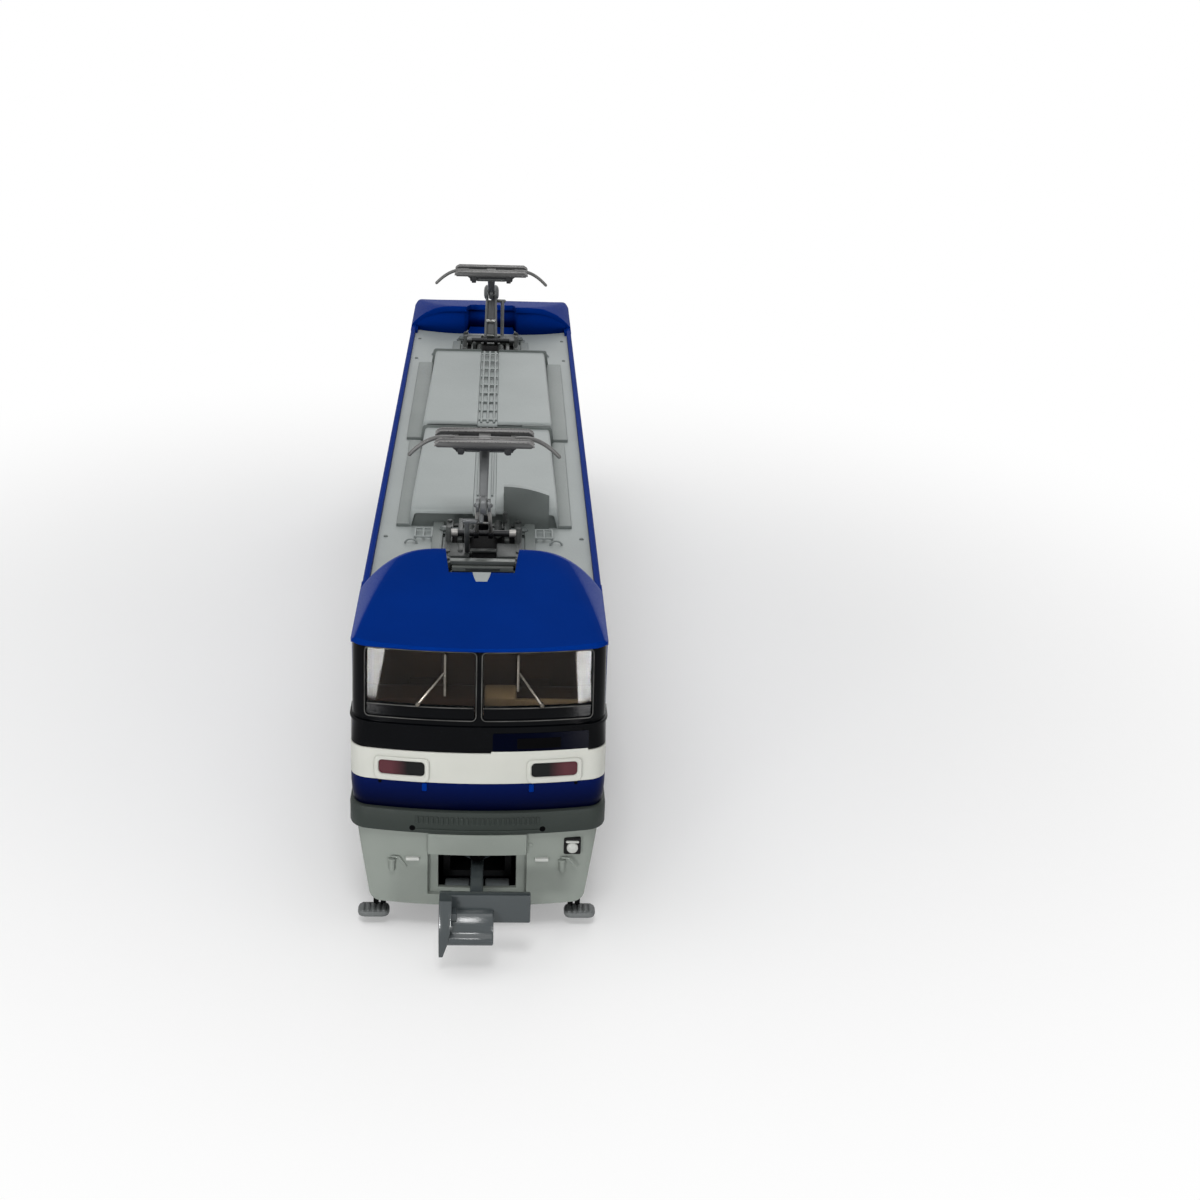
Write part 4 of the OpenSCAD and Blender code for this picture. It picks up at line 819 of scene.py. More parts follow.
# %% Hood back wall and notch walls
SET_BACK = 0.15
back_y = np.linspace(-HALF_W + 0.45, -NOTCH_W - SET_BACK, 24)
left_run = np.stack([HOOD_X + SET_BACK + sweep(back_y), back_y], -1)
notch_corner = (notch_end + SET_BACK, NOTCH_W - NOTCH_NARROW + SET_BACK)
notch_run = np.array([notch_corner, notch_corner]) * ((1, -1), (1, 1))
curtain_xy = np.concatenate([left_run, notch_run, left_run[::-1] * (1, -1)])
curtain_top = hood_height(curtain_xy[:, 0], curtain_xy[:, 1]) - 0.2
curtain_z = np.stack([np.full_like(curtain_top, DECK_Z - 0.5), curtain_top])
curtain = np.concatenate([np.stack([curtain_xy, curtain_xy]), curtain_z[..., None]], -1)
for end, sign in ENDS:
    wall = add_piece(f"hood_bulkhead_{end}", at_end([sheet(curtain[::-1])], sign), BLUE, "body",
                     outwards=False)
    thicken(wall, 0.5)

# %% [markdown]
# ## Mask, glass and wipers
# On the model the windscreen is a clear moulding with black print on it.
# The black mask is one glossy moulding round the nose, with two large panes. Its upper half is a panel with
# a round-cornered hole on each side of a thin pillar. A raised bead round each hole and a line along each
# sash's top are a pale metal grey on the black: a painted highlight.
# The lower half is a plain band with a bare plate on the right, and a black sash crosses each pane's foot.

# %% Mask
LEDGE_Z = MASK_Z + 2.0
SASH_TOP = LEDGE_Z + 1.35
MASK_DEPTH = 0.12
PANE = ((0.3, LEDGE_Z + 0.52), (8.35, VISOR_Z - 0.18))
pane_loop = round_loop(*PANE, 0.25, 5, 14)
bead_loop = inset(pane_loop, -0.2)
mask_cell = round_loop((0, LEDGE_Z), (MASK_END, VISOR_Z), 0.02, 5, 14)
spread_rows = [(mask_cell + share * (bead_loop - mask_cell), MASK_DEPTH) for share in np.linspace(0, 1, 12)]
mask_rows = spread_rows + [(inset(pane_loop, -0.16), 0.0), (inset(pane_loop, -0.05), 0.0), (pane_loop, 0.1),
                           (pane_loop, 0.6), (mask_cell, 0.6)]
upper_mask = ring_solid(on_skin(mask_rows))


def skin_strip(ways, rows):
    """A bar on the skin: its cross section, as rows of height and depth, is carried along the ways."""
    z, depth = np.array(rows).T
    return loft(skin(ways[:, None], z[None], depth[None]))


mask_way = mirrored(round_way(18, 10, [MASK_END]))
lower_mask = skin_strip(mask_way, [(MASK_Z + 0.02, 0.8), (MASK_Z + 0.02, 0.1), (MASK_Z + 0.1, 0.03),
                                   (LEDGE_Z - 0.3, 0.03), (LEDGE_Z - 0.12, -0.06), (LEDGE_Z - 0.03, -0.06),
                                   (LEDGE_Z + 0.02, 0.05), (LEDGE_Z + 0.02, 0.8)])
sash = skin_strip(np.linspace(0.34, 8.31, 24),
                  [(LEDGE_Z + 0.5, 0.45), (LEDGE_Z + 0.5, 0.12), (SASH_TOP - 0.13, 0.12),
                   (SASH_TOP - 0.08, 0.03), (SASH_TOP, 0.03), (SASH_TOP + 0.04, 0.12),
                   (SASH_TOP + 0.04, 0.45)])
bead_turn = np.linspace(0, 2 * math.pi, 8, endpoint=False)
bead = ring_solid(on_skin([(inset(pane_loop, 0.045 * math.cos(t) - 0.1), 0.01 - 0.045 * math.sin(t))
                           for t in bead_turn]))
sash_line = tube(skin(np.linspace(0.4, 8.25, 24), SASH_TOP, 0.03), 0.05, 8)
glass_pane = skin_plate(inset(pane_loop, 0.01), 0.22, 0.5)
plate = skin_plate(round_loop((1.05, MASK_Z + 0.15), (8.2, MASK_Z + 1.5), 0.15, 4, 10), 0.0, 0.1)
plate_bed = skin_plate(round_loop((2.85, MASK_Z + 0.36), (6.1, MASK_Z + 1.12), 0.1, 4, 8), -0.03, 0.05)
plate_foot = skin_plate(round_loop((0.95, MASK_Z - 0.03), (8.15, MASK_Z + 0.15), 0.05, 3, 10), -0.01, 0.1)
add_ends("mask_{}", both_sides([upper_mask, sash]) + [lower_mask], GLOSS_BLACK, "body",
         ["windscreen_{}"])
# The beads and sash lines are pale metal grey on the black mask: a painted highlight.
add_ends("mask_beads_{}", both_sides([bead, sash_line]), BEAD_HIGHLIGHT, "body")
add_ends("windscreen_panes_{}", both_sides([glass_pane]), GLASS, "body", ["windscreen_{}"])
add_ends("bare_plate_{}", [plate, (*plate_bed, 1), (*plate_foot, 2)], [PLATE_BLUE, BLACK_AND_SHADE, WHITE],
         "body")
print("mask wraps to", round(MASK_X, 2))


# %% Wipers
def on_glass(way, z, proud):
    """A point that stands proud of the mask's face."""
    return skin(np.array(way, float), np.array(z, float), -proud)


def wiper(pivot, elbow, low, high):
    """An arm from its pivot to the elbow, and a blade held at the elbow, each as way and height."""
    arm_way = np.linspace(pivot[0], elbow[0], 3)
    arm = on_glass(arm_way, np.linspace(pivot[1], elbow[1], 3), 0.18)
    blade_way = np.full(7, elbow[0] - 0.12 * np.sign(elbow[0]))
    blade = on_glass(blade_way, np.linspace(low, high, 7), 0.14)
    hub = on_glass([pivot[0]] * 3, [pivot[1]] * 3, np.array([-0.05, 0.1, 0.22]))
    return [tube(arm, np.array([0.13, 0.11, 0.09]), 8), tube(blade, 0.11, 8, (1, 0, 0)), tube(hub, 0.2, 10)]


WIPER_FOOT = 18.95
WIPER_TOP = 22.6
wipers = wiper((-4.45, WIPER_FOOT), (-2.6, 21.3), 19.7, WIPER_TOP)
wipers += wiper((4.6, WIPER_FOOT), (2.95, 21.35), 20.1, WIPER_TOP)
add_ends("wipers_{}", wipers, WIPER, "body")

# %% [markdown]
# ## Headlamps
# Each lamp sits in a raised pale frame on the stripe: a smoky lens whose outer half is the red tail lamp.
# The frame is again a panel with a hole, and the lens is a plate that follows the skin; its finish changes
# from grey to red with the distance from the middle line.

# %% Lamps
LAMP_LOW = (3.92, MASK_Z - 1.94)
LAMP_HIGH = (7.38, MASK_Z - 0.78)
lens_loop = round_loop(LAMP_LOW, LAMP_HIGH, 0.3, 4, 8)
frame_loop = round_loop((LAMP_LOW[0] - 0.34, STRIPE_Z + 0.04), (LAMP_HIGH[0] + 0.34, LAMP_HIGH[1] + 0.26),
                        0.4, 4, 8)
bezel = ring_solid(on_skin([(frame_loop, 0.3), (frame_loop, -0.12), (inset(frame_loop, 0.08), -0.2),
                            (inset(lens_loop, -0.08), -0.2), (lens_loop, -0.12), (lens_loop, 0.3)]))
lens = skin_plate(inset(lens_loop, 0.01), -0.04, 0.3)
add_piece("lamp_frames", both_ends(both_sides([bezel])), WHITE, "body", ["body_shell"])
add_piece("lamp_lenses", both_ends(both_sides([lens])), LENS, "body", ["headlamp_lenses"])
tab_loop = round_loop((3.77, STRIPE_Z - 0.68), (4.13, STRIPE_Z - 0.06), 0.08, 3)
tab = loft(on_skin([(tab_loop, 0.1), (tab_loop, -0.1), (inset(tab_loop, 0.05), -0.15)]))
dot = loft(on_skin([(arc((7.3, STRIPE_Z - 0.16), 0.14, 0, 330, 12), depth) for depth in (0.1, -0.02)]))
add_piece("band_tabs", both_ends(both_sides([tab, (*dot, 1)])), [BLUE, BLACK_AND_SHADE], "body")

# %% [markdown]
# ## Sill, skirt and steps
# A dark sill closes the body below. Under it hangs the pale skirt: a bowed plate with round lower corners,
# a proud header, and a recess with the coupler's opening. It is a grid of rows and columns with the
# opening's cells left out, thickened inwards.

# %% Sill
sill_rows = [(SILL_Z, 1.2), (SILL_Z, 0.15), (SILL_Z + 0.1, -0.04), (SILL_Z + 0.25, -0.1),
             (BODY_Z - 0.25, -0.1), (BODY_Z - 0.08, -0.04), (BODY_Z, 0.1), (BODY_Z, 1.2)]
RIBS = 25
RIB_HALF = 4.5
rib_way = np.linspace(-RIB_HALF, RIB_HALF, RIBS)
rib_loops = [round_loop((w - 0.11, SILL_Z + 0.95), (w + 0.11, BODY_Z - 0.42), 0.05, 2) for w in rib_way]
ribs = [loft(on_skin([(loop, 0.1), (loop, -0.16), (inset(loop, 0.03), -0.2)])) for loop in rib_loops]
rail_way = np.linspace(-4.55, 4.55, 21)
step_rail = tube(skin(rail_way, SILL_Z + 0.42, -0.12), 0.07, 8)
# The sill's holes are near-black discs: painted shade.
holes = [loft(on_skin([(arc((s * 4.85, SILL_Z + 0.5), 0.22, 0, 337.5, 16), d) for d in (0.1, -0.115)]))
         for s in (-1, 1)]
end_floor = block((NOSE_X - 10, 1 - HALF_W, SILL_Z), (NOSE_X - 1.1, HALF_W - 1, SILL_Z + 0.8), 1.5, 0.05)
sill = [band(sill_rows)] + both_ends(ribs + [step_rail, end_floor] + painted(holes, 1))
add_piece("sill", sill, [SILL_GREY, BLACK_AND_SHADE], "body", ["underframe"])
print("step ribs:", 2 * RIBS)

# %% Skirt
SKIRT_Z = span_of("skirt_front")[0][2]
SKIRT_TOP_W = HALF_W - 0.45
SKIRT_LOW_W = SKIRT_TOP_W - 0.85
SKIRT_TURN = 0.9
SKIRT_DEPTH = 0.37
HEADER_DEPTH = 0.04
RECESS_DEPTH = 0.78
RECESS_W = 3.7
RECESS_Z = (SKIRT_Z + 0.9, SKIRT_Z + 4.45)
MOUTH_W = 2.95
MOUTH_Z = SKIRT_Z + 1.3
MOUTH_TOP = SKIRT_Z + 4.2
STEP_RUN = 0.03
foot_z = SKIRT_Z + SKIRT_TURN * (1 - np.cos(np.linspace(0, 0.5 * math.pi, 8)))
edge_z = np.array([z + s * STEP_RUN for z in RECESS_Z for s in (-1, 1)])
skirt_z = np.concatenate([foot_z, edge_z, [MOUTH_Z, SKIRT_Z + 2.7, MOUTH_TOP],
                          np.linspace(MOUTH_TOP, SILL_Z, 5)[2:]])
skirt_z = np.unique(np.round(skirt_z, 4))
foot = np.clip(SKIRT_Z + SKIRT_TURN - skirt_z, 0, SKIRT_TURN)
rise = np.clip((skirt_z - SKIRT_Z - SKIRT_TURN) / (SILL_Z - SKIRT_Z - SKIRT_TURN), 0, 1)
skirt_round = np.sqrt(SKIRT_TURN ** 2 - foot ** 2) - SKIRT_TURN
skirt_half = SKIRT_LOW_W + skirt_round + rise * (SKIRT_TOP_W - SKIRT_LOW_W)
middle_y = np.array([0, 0.9, 1.9, MOUTH_W, 3.3, RECESS_W - STEP_RUN])
outer_start = RECESS_W + STEP_RUN
outer_share = np.linspace(0, 1, 9)
outer_y = outer_start + outer_share * (skirt_half[:, None] - outer_start)
skirt_y = mirrored(np.concatenate([middle_y + 0 * skirt_half[:, None], outer_y], 1))
row_depth = np.where(skirt_z > RECESS_Z[1], HEADER_DEPTH,
                     np.where(skirt_z > RECESS_Z[0], RECESS_DEPTH, SKIRT_DEPTH))
skirt_depth = np.where(np.abs(skirt_y) < RECESS_W, row_depth[:, None], SKIRT_DEPTH)


def skirt_x(y, depth):
    """The bow, or its corner, at a depth."""
    far = np.abs(y)
    bow = NOSE_X - NOSE_R + np.sqrt((NOSE_R - depth) ** 2 - far ** 2)
    reach = np.maximum((CORNER_R - depth) ** 2 - np.maximum(far - HALF_W + CORNER_R, 0) ** 2, 0)
    return np.where(far <= (NOSE_R - depth) * math.sin(TURN), bow, CORNER_X + np.sqrt(reach))


skirt_points = np.stack([skirt_x(skirt_y, skirt_depth), skirt_y, skirt_z[:, None] + 0 * skirt_y], -1)
cell_y = (skirt_y[:-1, :-1] + skirt_y[:-1, 1:]) / 2
cell_z = ((skirt_z[:-1] + skirt_z[1:]) / 2)[:, None]
mouth = (np.abs(cell_y) < MOUTH_W) & (cell_z > MOUTH_Z) & (cell_z < MOUTH_TOP)


def cock(side):
    """A brake hose cock: a short upright barrel with a collar, and a bent handle."""
    y = side * 6.4
    x = skirt_x(np.array(y), SKIRT_DEPTH) + 0.12
    z = SKIRT_Z + 2.8
    barrel = turned([(0.01, 0), (0.22, 0.02), (0.22, 0.8), (0.28, 0.84), (0.28, 1.0), (0.01, 1.04)],
                    (x, y, z), "z", 14)
    handle = tube([(x, y, z + 1.15), (x + 0.1, y + 0.5, z + 1.15), (x + 0.05, y + 1.05, z + 0.4)], 0.09, 8)
    stay = line((x - 0.4, y, z + 0.5), (x, y, z + 0.5), 0.15, 8)
    return [barrel, handle, stay]


BAR_Y = 4.85
bar_x = float(skirt_x(np.array(BAR_Y), SKIRT_DEPTH))
# The skirt's bars take the pale cap grey: a painted highlight.
bars = [block((bar_x - 0.3, s * BAR_Y - 0.5, SKIRT_Z + 3.8),
              (bar_x + 0.26, s * BAR_Y + 0.5, SKIRT_Z + 4.05), 0.05, 0.04, "x")
        for s in (-1, 1)]
skirt_rivet = turned([(0.16, 0), (0.15, 0.08), (0.01, 0.14)],
                     (float(skirt_x(np.array(4.0), SKIRT_DEPTH)), 4.0, SKIRT_Z + 5.16), "x", 12)
for end, sign in ENDS:
    skirt = add_piece(f"skirt_plate_{end}", at_end([sheet(skirt_points, ~mouth)], sign), SKIRT_GREY, "body",
                      [f"skirt_{end}"], 40, False)
    thicken(skirt, 0.35, 0.06)
add_ends("skirt_fittings_{}", cock(-1) + cock(1) + painted(bars, 1) + [skirt_rivet], [SKIRT_GREY, CAP_GREY_AND_HIGHLIGHT],
         "body")
print("skirt rows and columns:", skirt_points.shape[:2])

# %% Jumper socket and steps
SOCKET_Y = 7.15
SOCKET_Z = SKIRT_Z + 4.9
STEP_X = NOSE_X - 2.2
STEP_W = 2.4
STEP_OUT = HALF_W - 0.4
STEP_Z = 0.7
socket_x = float(skirt_x(np.array(SOCKET_Y), SKIRT_DEPTH))
socket = block((socket_x - 0.5, SOCKET_Y - 0.64, SOCKET_Z - 0.68),
               (socket_x + 0.22, SOCKET_Y + 0.64, SOCKET_Z + 0.68), 0.12, 0.06, "x")
cap = [turned([(0.01, 0.55), (0.3, 0.52), (0.42, 0.42), (0.42, 0.1), (0.01, 0.1)],
              (socket_x, SOCKET_Y, SOCKET_Z - 0.05), "x", 20),
       line((socket_x + 0.3, SOCKET_Y - 0.4, SOCKET_Z + 0.42),
            (socket_x + 0.3, SOCKET_Y + 0.4, SOCKET_Z + 0.42), 0.1, 8)]
add_piece("jumper_socket_caps", both_ends([socket] + painted(cap, 1)), [SOCKET_BLACK, CAP_GREY_AND_HIGHLIGHT], "body",
          ["jumper_sockets"])
tread = [block((STEP_X - 0.85, STEP_OUT - STEP_W, STEP_Z), (STEP_X + 0.78, STEP_OUT, STEP_Z + 0.5),
               0.55, 0.16)]
tread += [block((STEP_X - 0.6, y - 0.13, STEP_Z + 0.4), (STEP_X + 0.7, y + 0.13, STEP_Z + 0.6), 0.12, 0.06)
          for y in np.linspace(STEP_OUT - STEP_W + 0.4, STEP_OUT - 0.4, 5)]
struts = [block((NOSE_X - 3, y, STEP_Z + 0.3), (NOSE_X - 2.55, y + 0.4, SILL_Z - 0.6), 0.08, 0.04)
          for y in (STEP_OUT - 2.1, STEP_OUT - 1.55)]
steps = both_ends(both_sides(tread + painted(struts, 1)))
add_piece("shunter_treads", steps, [STEP_GREY, SOCKET_BLACK], "body", ["shunter_steps"])

# %% [markdown]
# ## Couplers
# The coupler is one glossy moulding: a shank on its pin, a cross plate, a side fin that comes down to a
# point, and a round-nosed bar. Each is an outline pulled along an axis with softened rims. Behind it, in the
# skirt's opening, sit a lining and a pin head, both near-black as painted shade, and two guide blocks.

# %% Couplers
COUPLER_Z = SKIRT_Z + 2.75
PIN_X = NOSE_X - 5
FACE_X = span_of("coupler_front")[1][0]
PLATE_X = FACE_X - 2.6
FIN_Y = -2.7
shank = [block((PIN_X + 0.4, -0.48, COUPLER_Z - 0.75), (PLATE_X + 0.3, 0.48, COUPLER_Z + 0.6),
               0.15, 0.1, "x"),
         turned([(0.6, -0.75), (1.1, -0.75), (1.2, -0.65), (1.2, 0.65), (1.1, 0.75), (0.6, 0.75)],
                (PIN_X, 0, COUPLER_Z), "z", 28)]
cross = [block((PLATE_X, FIN_Y, COUPLER_Z - 1.6), (PLATE_X + 0.7, 4, COUPLER_Z + 0.7), 0.12, 0.1, "x")]
HOOK_AT = np.array([FACE_X, COUPLER_Z])
fin_loop = HOOK_AT + [(-2.6, 0.7), (-2.6, -1.6), (-1.8, -1.7), (-0.95, -3.75), (-0.75, -3.85), (-0.55, -3.7),
                      (-0.08, -2.2), (-0.3, -0.9), (-1.1, 0.66)]
bar_corners = HOOK_AT + [(-2.1, -0.45), (-1.41, -0.57), (-0.78, -1.18), (-0.72, -1.66), (-0.45, -1.86)]
held = np.array([0.1, 0.9])[None, :, None]
bar_face = (bar_corners[:-1, None] + held * (bar_corners[1:] - bar_corners[:-1])[:, None]).reshape(-1, 2)
nose_bar = np.concatenate([bar_face[::-1], HOOK_AT + [(-2.1, -1.1), (-1.5, -2.5)],
                           arc(HOOK_AT - (0.5, 2.22), 0.38, -125, 70, 10)])
fin = prism(fin_loop, FIN_Y, FIN_Y + 0.95, "y", 0.1)
fin_width = np.interp(fin[0][:, 2], (COUPLER_Z - 3.85, COUPLER_Z - 1.4), (0.3, 1.0))
fin[0][:, 1] = FIN_Y + (fin[0][:, 1] - FIN_Y) * fin_width
hook = [fin, prism(nose_bar, FIN_Y + 0.3, 1.3, "y", 0.12, 3),
        block((PLATE_X + 0.2, FIN_Y + 0.2, COUPLER_Z - 0.9), (FACE_X - 0.9, FIN_Y + 1.3, COUPLER_Z - 0.3),
              0.1, 0.05, "x")]
guide = [block((NOSE_X - 2.6, 0.6, MOUTH_Z - 0.6), (NOSE_X - 1.5, 2.45, MOUTH_Z - 0.12), 0.15, 0.1)]
LINER_BACK = NOSE_X - 3.6
LINER_FRONT = NOSE_X - 1.2
LINER_W = 3.3
LINER_Z = SKIRT_Z + 0.5
LINER_TOP = LINER_Z + 3.9
LINER_REAR = LINER_BACK + 0.2
liner = [block((LINER_BACK, -LINER_W, LINER_Z - 0.05), (LINER_FRONT, LINER_W, LINER_Z + 0.2), 0.1, 0.05),
         block((LINER_BACK, -LINER_W, LINER_Z), (LINER_REAR, LINER_W, LINER_Z + 0.75), 0.05, 0.03)]
liner_walls = [block((LINER_BACK, LINER_W - 0.3, LINER_Z), (LINER_FRONT, LINER_W, LINER_TOP), 0.1, 0.05),
               block((LINER_BACK, LINER_W - 0.75, LINER_Z), (LINER_REAR, LINER_W, LINER_TOP), 0.05, 0.03)]
pin_head = turned([(0.01, 0), (0.52, 0.02), (0.59, 0.12), (0.59, 0.7), (0.01, 0.72)],
                  (NOSE_X - 1.6, 0, COUPLER_Z + 0.66), "z", 20)
# The lining, its walls and the pin head are near-black: painted shade inside the opening.
pocket_shade = liner + both_sides(liner_walls) + [pin_head]
add_ends("coupler_hook_{}", shank + cross + hook, COUPLER, "coupler_{}", ["coupler_{}"])
add_ends("pocket_guides_{}", both_sides(guide) + painted(pocket_shade, 1), [POCKET_LIP, BLACK_AND_SHADE],
         "body")
print("coupler face at", round(FACE_X, 2))

# %% [markdown]
# ## Roof
# The roof is a pale grey moulding: a flat deck with two long equipment boxes, an air cowl, flat ducts beside
# the boxes, cable bars on ties in a channel, and small fittings. The ducts, the end faces of the boxes and
# cowl, and a block in the slot between the boxes are a darker grey: painted shade. A box is an outline
# carried along the roof; the front one's top curves down to a low end face.

# %% Deck, boxes and cowl
BOX_TOP = DECK_Z + 1.9
BOX_W = 6.5
BOX_TOP_W = 6.3
BOX_END = SHAFT_X - 5.6
RAMP_L = 3.0
RAMP_DROP = 0.4
SLOT_X = 2.2
SLOT_W = 1.0
CHANNEL = 1.0
CHANNEL_D = 0.2


def box_outline(top, shrink):
    """Half outline of an equipment box, mirrored: upright side, round shoulder, and a channel in its top."""
    wide = BOX_W - shrink
    shoulder = arc((BOX_TOP_W - shrink - 0.3, top - 0.3), 0.3, 0, 90, 5)
    half = np.concatenate([[(wide, DECK_Z - 0.1), (wide, DECK_Z + 0.2)], shoulder,
                           [(CHANNEL, top), (CHANNEL - 0.05, top - CHANNEL_D)]])
    return np.concatenate([half, half[::-1] * (-1, 1)])


def box_solid(x0, x1, ramp_l, ramp_drop):
    """Box outlines lofted along the roof: rims rounded at both ends, the top dropping over a ramp at x1."""
    rim = np.radians(np.linspace(0, 90, 5))
    rim_x = 0.25 * (1 - np.sin(rim[::-1]))
    rim_in = 0.25 * (1 - np.cos(rim[::-1]))
    ramp_x = np.linspace(0, 1, 9)[:-1]
    x = np.concatenate([x0 + rim_x[::-1], x1 - ramp_l + ramp_x * (ramp_l - 0.25), x1 - rim_x])
    shrink = np.concatenate([rim_in[::-1], 0 * ramp_x, rim_in])
    fall = ramp_drop * np.clip((x - x1 + ramp_l) / ramp_l, 0, 1) ** 2
    rings = [stand(box_outline(BOX_TOP - d - s, s), at, "x") for at, s, d in zip(x, shrink, fall)]
    return loft(np.stack(rings))


def shaded_ends(part, number):
    """The lofted part with another finish on its two flat ends: a darker grey, painted shade on faces turned
    from the light.
    """
    return (*part, np.repeat([0, number], [len(part[1][0]), len(part[1][1])]))


deck_end = HOOD_X + SWEEP
deck_loop = np.array([(-deck_end, DECK_W), (-deck_end, -DECK_W), (deck_end, -DECK_W), (deck_end, DECK_W)])
deck = [prism(deck_loop, DECK_Z - 0.9, DECK_Z, "z", 0)]
notch_loop = np.array([(HOOD_X - 0.5, -NOTCH_W), (notch_end, NOTCH_NARROW - NOTCH_W),
                       (notch_end, NOTCH_W - NOTCH_NARROW), (HOOD_X - 0.5, NOTCH_W)])
notch_floor = [prism(notch_loop, DECK_Z - 0.8, DECK_Z + 0.02, "z", 0)]
add_piece("notch_floors", both_ends(notch_floor), BLUE, "body")
SLOT_REAR = SLOT_X - SLOT_W / 2
SLOT_FRONT = SLOT_X + SLOT_W / 2
# Finish 1 on the boxes' flat ends is the darker grey: painted shade.
boxes = [shaded_ends(box_solid(-BOX_END, SLOT_REAR, 1.0, 0.0), 1),
         shaded_ends(box_solid(SLOT_FRONT, BOX_END, RAMP_L, RAMP_DROP), 1)]
COWL = (1.65, 5.55)
COWL_TOP = BOX_TOP + 1.9
cowl_share = np.linspace(0, 1, 14)
cowl_top = np.stack([COWL[0] + cowl_share * (COWL[1] - COWL[0]), COWL_TOP - 0.75 * cowl_share ** 2], -1)
cowl_loop = np.concatenate([[(COWL[0], DECK_Z)], cowl_top, [(COWL[1], DECK_Z)]])
COWL_BACK = 4.6
cowl_x = BOX_END + 0.1 - COWL_BACK * np.linspace(1, 0, 12)
cowl_fall = (COWL_TOP - BOX_TOP + 0.3) * (1 - np.cos(np.linspace(0.5 * math.pi, 0, 12))) ** 1.2
cowl_rings = np.stack([stand(np.maximum(cowl_loop - (0, d), (-np.inf, DECK_Z)), at, "x")
                       for at, d in zip(cowl_x, cowl_fall)])
cowl = [shaded_ends(loft(cowl_rings), 1)]
# The ducts are a darker grey than the deck: painted shade along the boxes' sides.
ducts = [block((x0, y0, DECK_Z - 0.1), (x1, y1, DECK_Z + 0.3), 0.12, 0.1)
         for x0, x1, y0, y1 in ((-BOX_END, SLOT_REAR, 6.3, 7.9), (SLOT_FRONT, BOX_END, 6.3, 7.55))]
# A block in the darker grey in the slot between the boxes: painted shadow.
slot_shade_block = [block((SLOT_REAR - 0.2, 3.4, DECK_Z + 0.2), (SLOT_REAR + 0.35, 6.2, BOX_TOP - 0.15),
              0.15, 0.08, "x")]
roof_parts = deck + boxes + painted(slot_shade_block, 1) + painted(both_sides(ducts), 2)
add_piece("roof_moulding", roof_parts, [ROOF, ROOF_DARK_GREY_AND_SHADE, ROOF_DUCT_SHADE], "body", ["roof_deck"])
add_piece("air_cowl", cowl, [ROOF, ROOF_DARK_GREY_AND_SHADE], "body")

# %% Cable bars, rivets and racks
RIVET_X = (30, 39)
RIVET_Y = 8.3
BAR_Z = BOX_TOP - CHANNEL_D + 0.1
BAR_RUNS = ((1 - BOX_END, SLOT_REAR - 0.5, 0.12), (SLOT_FRONT + 0.7, BOX_END - RAMP_L - 0.5, 0.1))
bar_parts = [line((x0, y, BAR_Z), (x1, y, BAR_Z), size, 8) for x0, x1, size in BAR_RUNS
             for y in (-0.62, 0, 0.62)]
ties = [block((x - 0.22, -0.9, BOX_TOP - CHANNEL_D), (x + 0.22, 0.9, BAR_Z + 0.08), 0.08, 0.06)
        for x in np.linspace(1.8 - BOX_END, SLOT_REAR - 1.4, 9)]
add_piece("roof_cables", bar_parts + ties, BUSBAR, "body", ["roof_busbar"])
rivet = [(0.2, 0), (0.19, 0.08), (0.12, 0.14), (0.01, 0.16)]
rivets = [turned(rivet, (s * x, RIVET_Y, DECK_Z - 0.02), "z", 10) for x in RIVET_X for s in (-1, 1)]
hook_turn = np.linspace(0, math.pi, 9)
LIFT_X = 31.6
LIFT_Y = 6.1
lift_path = np.stack([LIFT_X + 0 * hook_turn, LIFT_Y + 0.5 * np.cos(hook_turn),
                      DECK_Z + 0.4 * np.sin(hook_turn)], -1)
lift_hook = tube(lift_path, 0.09, 8, (1, 0, 0))
RACK_X = (28.9, 31.0)
RACK_Y = (4.4, 5.8)
RACK_Z = DECK_Z + 0.4
rack = [line((x, RACK_Y[0], RACK_Z), (x, RACK_Y[1], RACK_Z), 0.09, 8) for x in RACK_X]
rack += [line((RACK_X[0], y, RACK_Z), (RACK_X[1], y, RACK_Z), 0.09, 8) for y in (*RACK_Y, 5.1)]
rack += [line((x, y, DECK_Z - 0.05), (x, y, RACK_Z), 0.09, 8, (1, 0, 0)) for x in RACK_X for y in RACK_Y]
add_piece("roof_rivets", both_sides(rivets), ROOF_DARK_GREY_AND_SHADE, "body")
add_piece("roof_racks", both_ends(both_sides([lift_hook] + rack)), ROOF, "body")
tab_x = np.array([0.05, 0.7, 1.35]) + notch_end
tab_z = hood_height(tab_x, 0 * tab_x) + 0.04
hood_tab = [loft(np.stack([stand(round_loop((-w, z - 0.5), (w, z), 0.05, 2), x, "x")
                           for x, w, z in zip(tab_x, (0.72, 0.6, 0.44), tab_z)]))]
add_piece("hood_tabs", both_ends(hood_tab), ROOF, "body")
print("rivets:", 2 * len(rivets))

# %% [markdown]
# ## Pantographs
# Each pantograph is a working linkage: a base on insulators, a forked lower arm, a flat upper arm, a control
# rod and a head with two contact strips and curved horns. Every member rides on its own body, so it is made
# about that body's own joint, whose place the frame gives. The real ones are thin mouldings on wire pins.

# %% Joint places
KNEE = joint_place("pantograph_front_knee")
HEAD = joint_place("pantograph_front_level")
ROD = joint_place("pantograph_front_rod")
ROD_Y = -1.3
TAIL_L = 1.3
TAIL = KNEE + TAIL_L * np.array([math.cos(math.radians(-60)), 0, math.sin(math.radians(-60))])
print("main shaft", SHAFT.round(2), "knee", KNEE.round(2), "head", HEAD.round(2))

